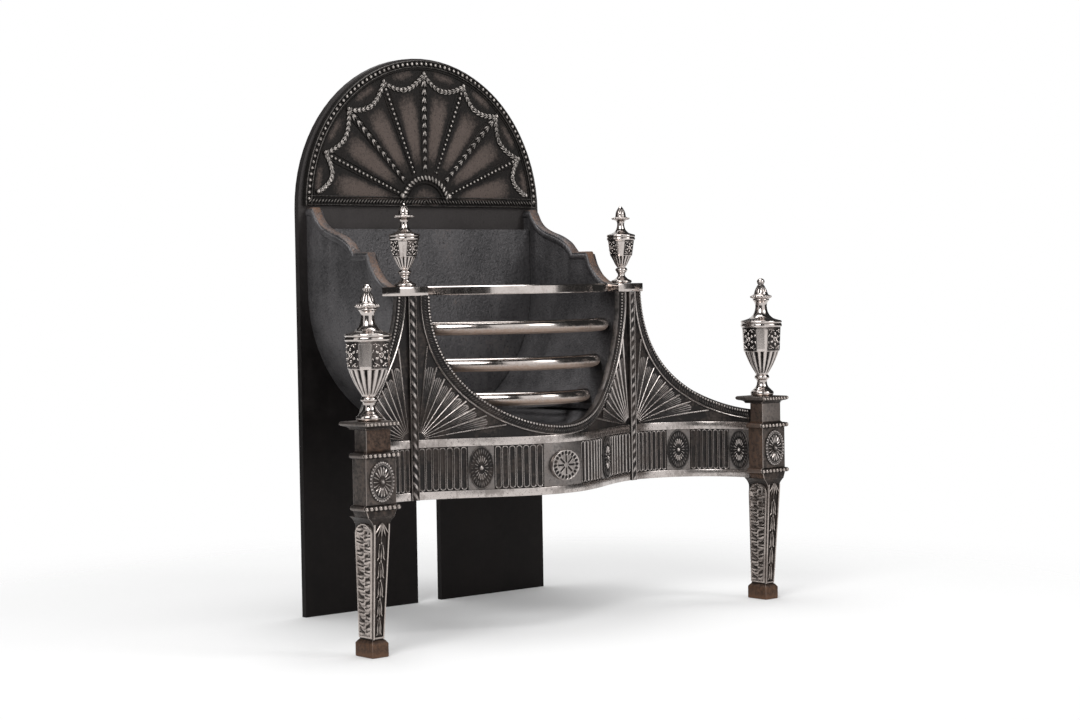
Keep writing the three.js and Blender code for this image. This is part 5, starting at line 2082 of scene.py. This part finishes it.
@dataclass
class Urns:
    """The four lidded urns."""

    sides: int = 128
    flutes: int = 16
    flute_depth: float = 0.085
    bud_leaves: int = 12
    bud_depth: float = 0.09
    collar_beads: int = 20

    def build(self, legs: Legs, box: Firebox) -> None:
        """Builds all four urns.

        Args:
            legs: the legs, which carry the lower urns.
            box: the firebox, whose top blocks carry the upper ones.
        """
        middle = (box.block_inner + box.block_outer) / 2
        upper = (middle, (box.block_rear + box.block_front) / 2, box.block_high + GAP)
        lower = (legs.at, (legs.cap[0] + legs.cap[1]) / 2, legs.cap_high + GAP)
        kinds = (("upper_urn", UPPER_URN, upper), ("lower_urn", LOWER_URN, lower))
        for side in Side:
            for kind, pattern, (x, f, seat) in kinds:
                self.urn(kind, side.label, pattern, (side.value * x, f, seat))

    def turned(
        self,
        profile: np.ndarray,
        place: tuple[float, float, float],
        clay: Clay,
        lobes: int = 0,
        span: tuple[float, float] = (0, 1),
        depth: float = 0.0,
        patch: tuple = (),
    ) -> None:
        """Adds a turned shape, with lobes between sharp grooves over part of its height.

        Args:
            profile: rows of radius and height.
            place: x, distance forward and height of its seat.
            clay: the piece.
            lobes: how many lobes it has.
            span: the heights between which they are cut.
            depth: how deep the grooves are for the radius.
            patch: the size and height of four patches left dark, as a ground for flowers.
        """
        a = np.linspace(0, 2 * math.pi, self.sides + 1)[:-1]
        r, h = profile.T[:, :, None]
        groove = np.zeros((len(h), len(a)))
        if lobes:
            fade = np.clip((h - span[0]) / 3, 0, 1) * np.clip((span[1] - h) / 1.5, 0, 1)
            groove = fade * (1 - np.abs(np.sin(lobes * a / 2)) ** 0.75)
        radius = r * (1 - depth * groove * 1.6)
        x, f, seat = place
        rings = columns(x + radius * np.sin(a), seat + h, f + radius * np.cos(a))
        slope = np.gradient(profile[:, 0], profile[:, 1] + np.arange(len(h)) * 1e-6)
        crease = np.clip(np.gradient(slope), 0, 1)[:, None]
        shade = 0.82 - groove * 1.5 - 0.75 * crease
        if patch:
            size, middle = patch
            aside = np.abs((a + math.pi / 4) % (math.pi / 2) - math.pi / 4) * r / size
            above = np.abs(h - middle) / size / 1.3
            shade = shade - 0.85 * np.clip((1.25 - np.maximum(aside, above)) * 6, 0, 1)
        clay.loft(rings, np.clip(shade, 0, 1))

    def urn(
        self, kind: str, label: str, pattern: UrnPattern, place: tuple[float, float, float]
    ) -> None:
        """Builds one urn as a foot, a fluted body and a lid.

        Args:
            kind: upper_urn or lower_urn.
            label: left or right.
            pattern: its profiles.
            place: x, distance forward and height of its seat.
        """
        foot = Clay()
        self.turned(softened(pattern.foot), place, foot)
        foot.piece(f"{kind}_pedestal_{label}", BRIGHT_STEEL, [f"{kind}_foot_{label}"])

        body = Clay()
        wall = np.linspace(pattern.frieze[1], pattern.frieze[4], 18)[1:-1]
        foot_rim, top_rim = softened(pattern.frieze[:2]), softened(pattern.frieze[4:])
        outline = np.vstack([softened(pattern.bowl), foot_rim, wall, top_rim])
        cut = (pattern.bowl[1][1], pattern.bowl[-1][1] + 0.8)
        self.turned(outline, place, body, self.flutes, cut, self.flute_depth, pattern.patch)
        for quarter in range(4):
            self.flower(body, pattern, place, quarter * math.pi / 2)
        body.piece(f"{kind}_vase_{label}", BRIGHT_STEEL, [f"{kind}_body_{label}"])

        lid = Clay()
        outline = np.vstack([softened(pattern.lid), [(0.4, pattern.tip)]])
        cut = (pattern.bud, pattern.tip - 6)
        self.turned(outline, place, lid, self.bud_leaves, cut, self.bud_depth)
        collar = max(r for r, h in pattern.lid if h > pattern.collar - 2)
        self.beads(lid, place, collar - 0.6, pattern.collar)
        lid.piece(f"{kind}_finial_{label}", BRIGHT_STEEL, [f"{kind}_lid_{label}"])

    def beads(
        self, clay: Clay, place: tuple[float, float, float], radius: float, height: float
    ) -> None:
        """Adds a ring of beads round an urn.

        Args:
            clay: the piece.
            place: x, distance forward and height of the urn's seat.
            radius: the ring's radius.
            height: its height above the seat.
        """
        shape, faces = BEAD_SHAPE
        x, f, seat = place
        across, up, out = shape.T * math.pi * radius / self.collar_beads * 0.86
        out = radius + out
        for i in range(self.collar_beads):
            a = 2 * math.pi * i / self.collar_beads
            c, n = math.cos(a), math.sin(a)
            ahead = f + out * c - across * n
            points = columns(x + out * n + across * c, seat + height + up, ahead)
            clay.add(points, faces, 0.3 + 0.7 * np.clip(shape[:, 2], 0, 1))

    def flower(
        self, clay: Clay, pattern: UrnPattern, place: tuple[float, float, float], angle: float
    ) -> None:
        """Adds a flower with leaves and tendrils to an urn's frieze.

        Args:
            clay: the urn's body.
            pattern: the urn's pattern.
            place: x, distance forward and height of its seat.
            angle: which way the flower faces.
        """
        size, height = pattern.patch
        r, h = np.array(pattern.frieze).T
        x, f, seat = place

        def warp(flat: np.ndarray) -> np.ndarray:
            """Carries flat points round the urn.

            Args:
                flat: rows of length round it, height and depth of relief.

            Returns:
                The points in elevation space.
            """
            aside, up, out = flat.T
            radius = np.interp(height + up, h, r)
            turn, out = angle + aside / radius, radius + out
            return columns(x + out * np.sin(turn), seat + height + up, f + out * np.cos(turn))

        relief = Clay(warp)
        depth = size * 0.17
        eye = circle(0, 0, size * 0.24, 0, 360, 14)[:-1]
        relief.sweep(eye, ridge(size * 0.2, depth, 1.0, 0.1), closed=True)
        relief.blob((0, 0, 0), (size * 0.1, size * 0.1, depth), polish=(0.1, 1.0))
        for i in range(6):
            a = math.pi / 2 + math.pi / 3 * i
            spot = (math.cos(a) * size * 0.58, math.sin(a) * size * 0.66, 0)
            relief.blob(spot, (size * 0.24, size * 0.19, depth * 1.1), a, polish=(0.0, 1.0))
        tendril = ridge(size * 0.15, depth * 0.9, 1.0, 0.1)
        curl = circle(size * 0.78, size * 1.05, size * 0.2, 20, 290, 10)
        for aside, up in ((-1, -1), (-1, 1), (1, -1), (1, 1)):
            way = np.array([aside, up]) * size
            relief.sweep(curl * (aside, up), tendril, taper=np.linspace(0.5, 1.1, len(curl)))
            leaves = (((0.36, 1.1), 0.12, aside * 0.6), ((1.0, 0.42), 0.11, up * 1.2))
            for spot, wide, turn in leaves:
                relief.blob((*(way * spot), 0), (size * 0.22, size * wide, depth), turn, 0.3)
        clay.merge(relief)


# ---------------------------------------------------------------- studio


@dataclass
class Studio:
    """The camera, the floor and the soft light, in metres."""

    yaw: float = 40.949
    pitch: float = 1.941
    roll: float = 0.016
    lens: float = 75.333
    sensor: float = 36.0
    eye: tuple[float, float, float] = (-2.4164, 3.0866, 0.5495)
    middle: Vector = field(default_factory=lambda: Vector((0, 0, 0.45)))
    floor_radius: float = 3.4
    floor_fade: tuple[float, float] = (0.6, 1.35)
    floor_paint: float = 0.77
    ambient: float = 0.5
    lamps: tuple = (
        ("key", (-2.6, -1.6, 2.6), 2.1, 72), ("top", (0.3, 0.3, 3.2), 2.2, 60),
        ("side", (1.3, -2.7, 2.1), 1.3, 21),
    )
    screen_radius: float = 4.6
    screen_glow: float = 0.03
    screens: tuple = (
        ("camera", (22, 86), (-7, 62)), ("right", (-138, -36), (-7, 62)),
        ("left", (106, 196), (-7, 45)), ("ceiling", (-180, 180), (46, 88)),
    )

    def camera(self) -> None:
        """Sets the camera where the photograph was taken from."""
        yaw, pitch = math.radians(self.yaw), math.radians(self.pitch)
        ahead = Vector((
            math.sin(yaw) * math.cos(pitch), math.cos(yaw) * math.cos(pitch), -math.sin(pitch)
        ))
        level = Vector((math.cos(yaw), -math.sin(yaw), 0))
        upright = level.cross(ahead)
        c, n = math.cos(self.roll), math.sin(self.roll)
        right, up = level * c - upright * n, level * n + upright * c
        data = bpy.data.cameras.new("camera")
        data.lens, data.sensor_width, data.sensor_fit = self.lens, self.sensor, "HORIZONTAL"
        made = Workshop.placed("camera", data)
        turn = Matrix((right, up, -ahead)).transposed().to_4x4()
        place = Vector((self.eye[0], Workshop.plate_y - self.eye[1], self.eye[2]))
        made.matrix_world = Matrix.Translation(place) @ turn
        bpy.context.scene.camera = made

    def world(self) -> None:
        """Sets a surround that looks white in the view and in metal, and lights more softly."""
        world = bpy.data.worlds.new("studio")
        bpy.context.scene.world = world
        world.use_nodes = True
        shader = Shader(world.node_tree)
        rays = ("Is Camera Ray", "Is Transmission Ray", "Is Glossy Ray")
        seen, clear, gloss = (shader.node("ShaderNodeLightPath", output=ray) for ray in rays)
        strength = self.ambient + (seen + clear + gloss) * (1 - self.ambient)
        inputs = {"Color": (1, 1, 1, 1), "Strength": strength}
        light = shader.node("ShaderNodeBackground", inputs=inputs)
        shader.node("ShaderNodeOutputWorld", inputs={"Surface": light})

    def floor(self) -> None:
        """Lays a white floor that fades into the surround."""
        shape = bmesh.new()
        bmesh.ops.create_circle(shape, cap_ends=True, segments=96, radius=self.floor_radius)
        mesh = bpy.data.meshes.new("floor")
        shape.to_mesh(mesh)
        shape.free()
        material, shader = Shader.material("white_floor")
        place = shader.node("ShaderNodeTexCoord", output="Object")
        reach = shader.node("ShaderNodeVectorMath", {"operation": "LENGTH"}, {0: place}, "Value")
        white = (*[self.floor_paint] * 3, 1)
        paint = shader.node("ShaderNodeBsdfDiffuse", inputs={"Color": white})
        empty = shader.node("ShaderNodeBsdfTransparent")
        inputs = {0: reach.over(*self.floor_fade), 1: paint, 2: empty}
        shader.surface(shader.node("ShaderNodeMixShader", inputs=inputs))
        mesh.materials.append(material)
        made = Workshop.placed("floor", mesh)

    def lamp(self, name: str, place: Vector, size: float, power: float) -> None:
        """Hangs one soft lamp that faces the grate.

        Args:
            name: its name.
            place: where it hangs.
            size: how wide it is.
            power: its power in watts.
        """
        data = bpy.data.lights.new(name, "AREA")
        data.shape, data.size, data.energy = "DISK", size, power
        made = Workshop.placed(name, data)
        made.location = place
        made.rotation_mode = "QUATERNION"
        made.rotation_quaternion = (self.middle - place).to_track_quat("-Z", "Y")

    def screen(self, name: str, turns: tuple[float, float], rises: tuple[float, float]) -> None:
        """Hangs a dark curved screen round the studio, which only polished metal mirrors.

        Args:
            name: its name.
            turns: where it starts and ends, in degrees leftwards from straight ahead.
            rises: its lower and upper edge, in degrees above level.
        """
        wide, tall = 24, 8
        a = np.radians(np.linspace(*turns, wide + 1))[:, None]
        e = np.radians(np.linspace(*rises, tall + 1))
        points = columns(-np.sin(a) * np.cos(e), -np.cos(a) * np.cos(e), np.sin(e))
        points = points.reshape(-1, 3) * self.screen_radius + np.array(self.middle)
        corners = (0, 1, tall + 2, tall + 1)
        starts = [i * (tall + 1) + k for i in range(wide) for k in range(tall)]
        mesh = bpy.data.meshes.new(name)
        mesh.from_pydata(points.tolist(), [], [[k + c for c in corners] for k in starts])
        material, shader = Shader.material(name)
        inputs = {"Color": (1, 1, 1, 1), "Strength": self.screen_glow}
        shader.surface(shader.node("ShaderNodeEmission", inputs=inputs))
        mesh.materials.append(material)
        made = Workshop.placed(name, mesh)
        for ray in ("camera", "diffuse", "shadow", "transmission"):
            setattr(made, f"visible_{ray}", False)

    def build(self) -> None:
        """Sets up the whole studio."""
        self.camera()
        self.world()
        self.floor()
        for name, place, size, power in self.lamps:
            self.lamp(name, Vector(place), size, power)
        for name, turns, rises in self.screens:
            self.screen(f"dark_screen_{name}", turns, rises)
        bpy.context.scene.view_settings.view_transform = "Standard"


# ---------------------------------------------------------------- assembly


def main() -> None:
    """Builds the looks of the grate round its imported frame."""
    logging.basicConfig(level=logging.INFO, format="%(name)s: %(message)s")
    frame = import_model()
    Workshop.open()
    Studio().build()
    nodes = frame["nodes"]
    plain = {"back_plate": PLATE_IRON, "bottom_grate": FIRE_IRON}
    plain |= {f"plate_bolt_{i}": PLATE_IRON for i in range(1, 5)}
    for kind in ("upper", "lower"):
        plain |= {f"{kind}_urn_stud_{side.label}": BRIGHT_STEEL for side in Side}
    for name, finish in plain.items():
        Workshop.dress(nodes[name], finish)
    front, box, legs = Front(), Firebox(), Legs()
    front.build()
    FanPanel().build()
    box.build(front)
    legs.build()
    Urns().build(legs, box)


if __name__ == "__main__":
    main()
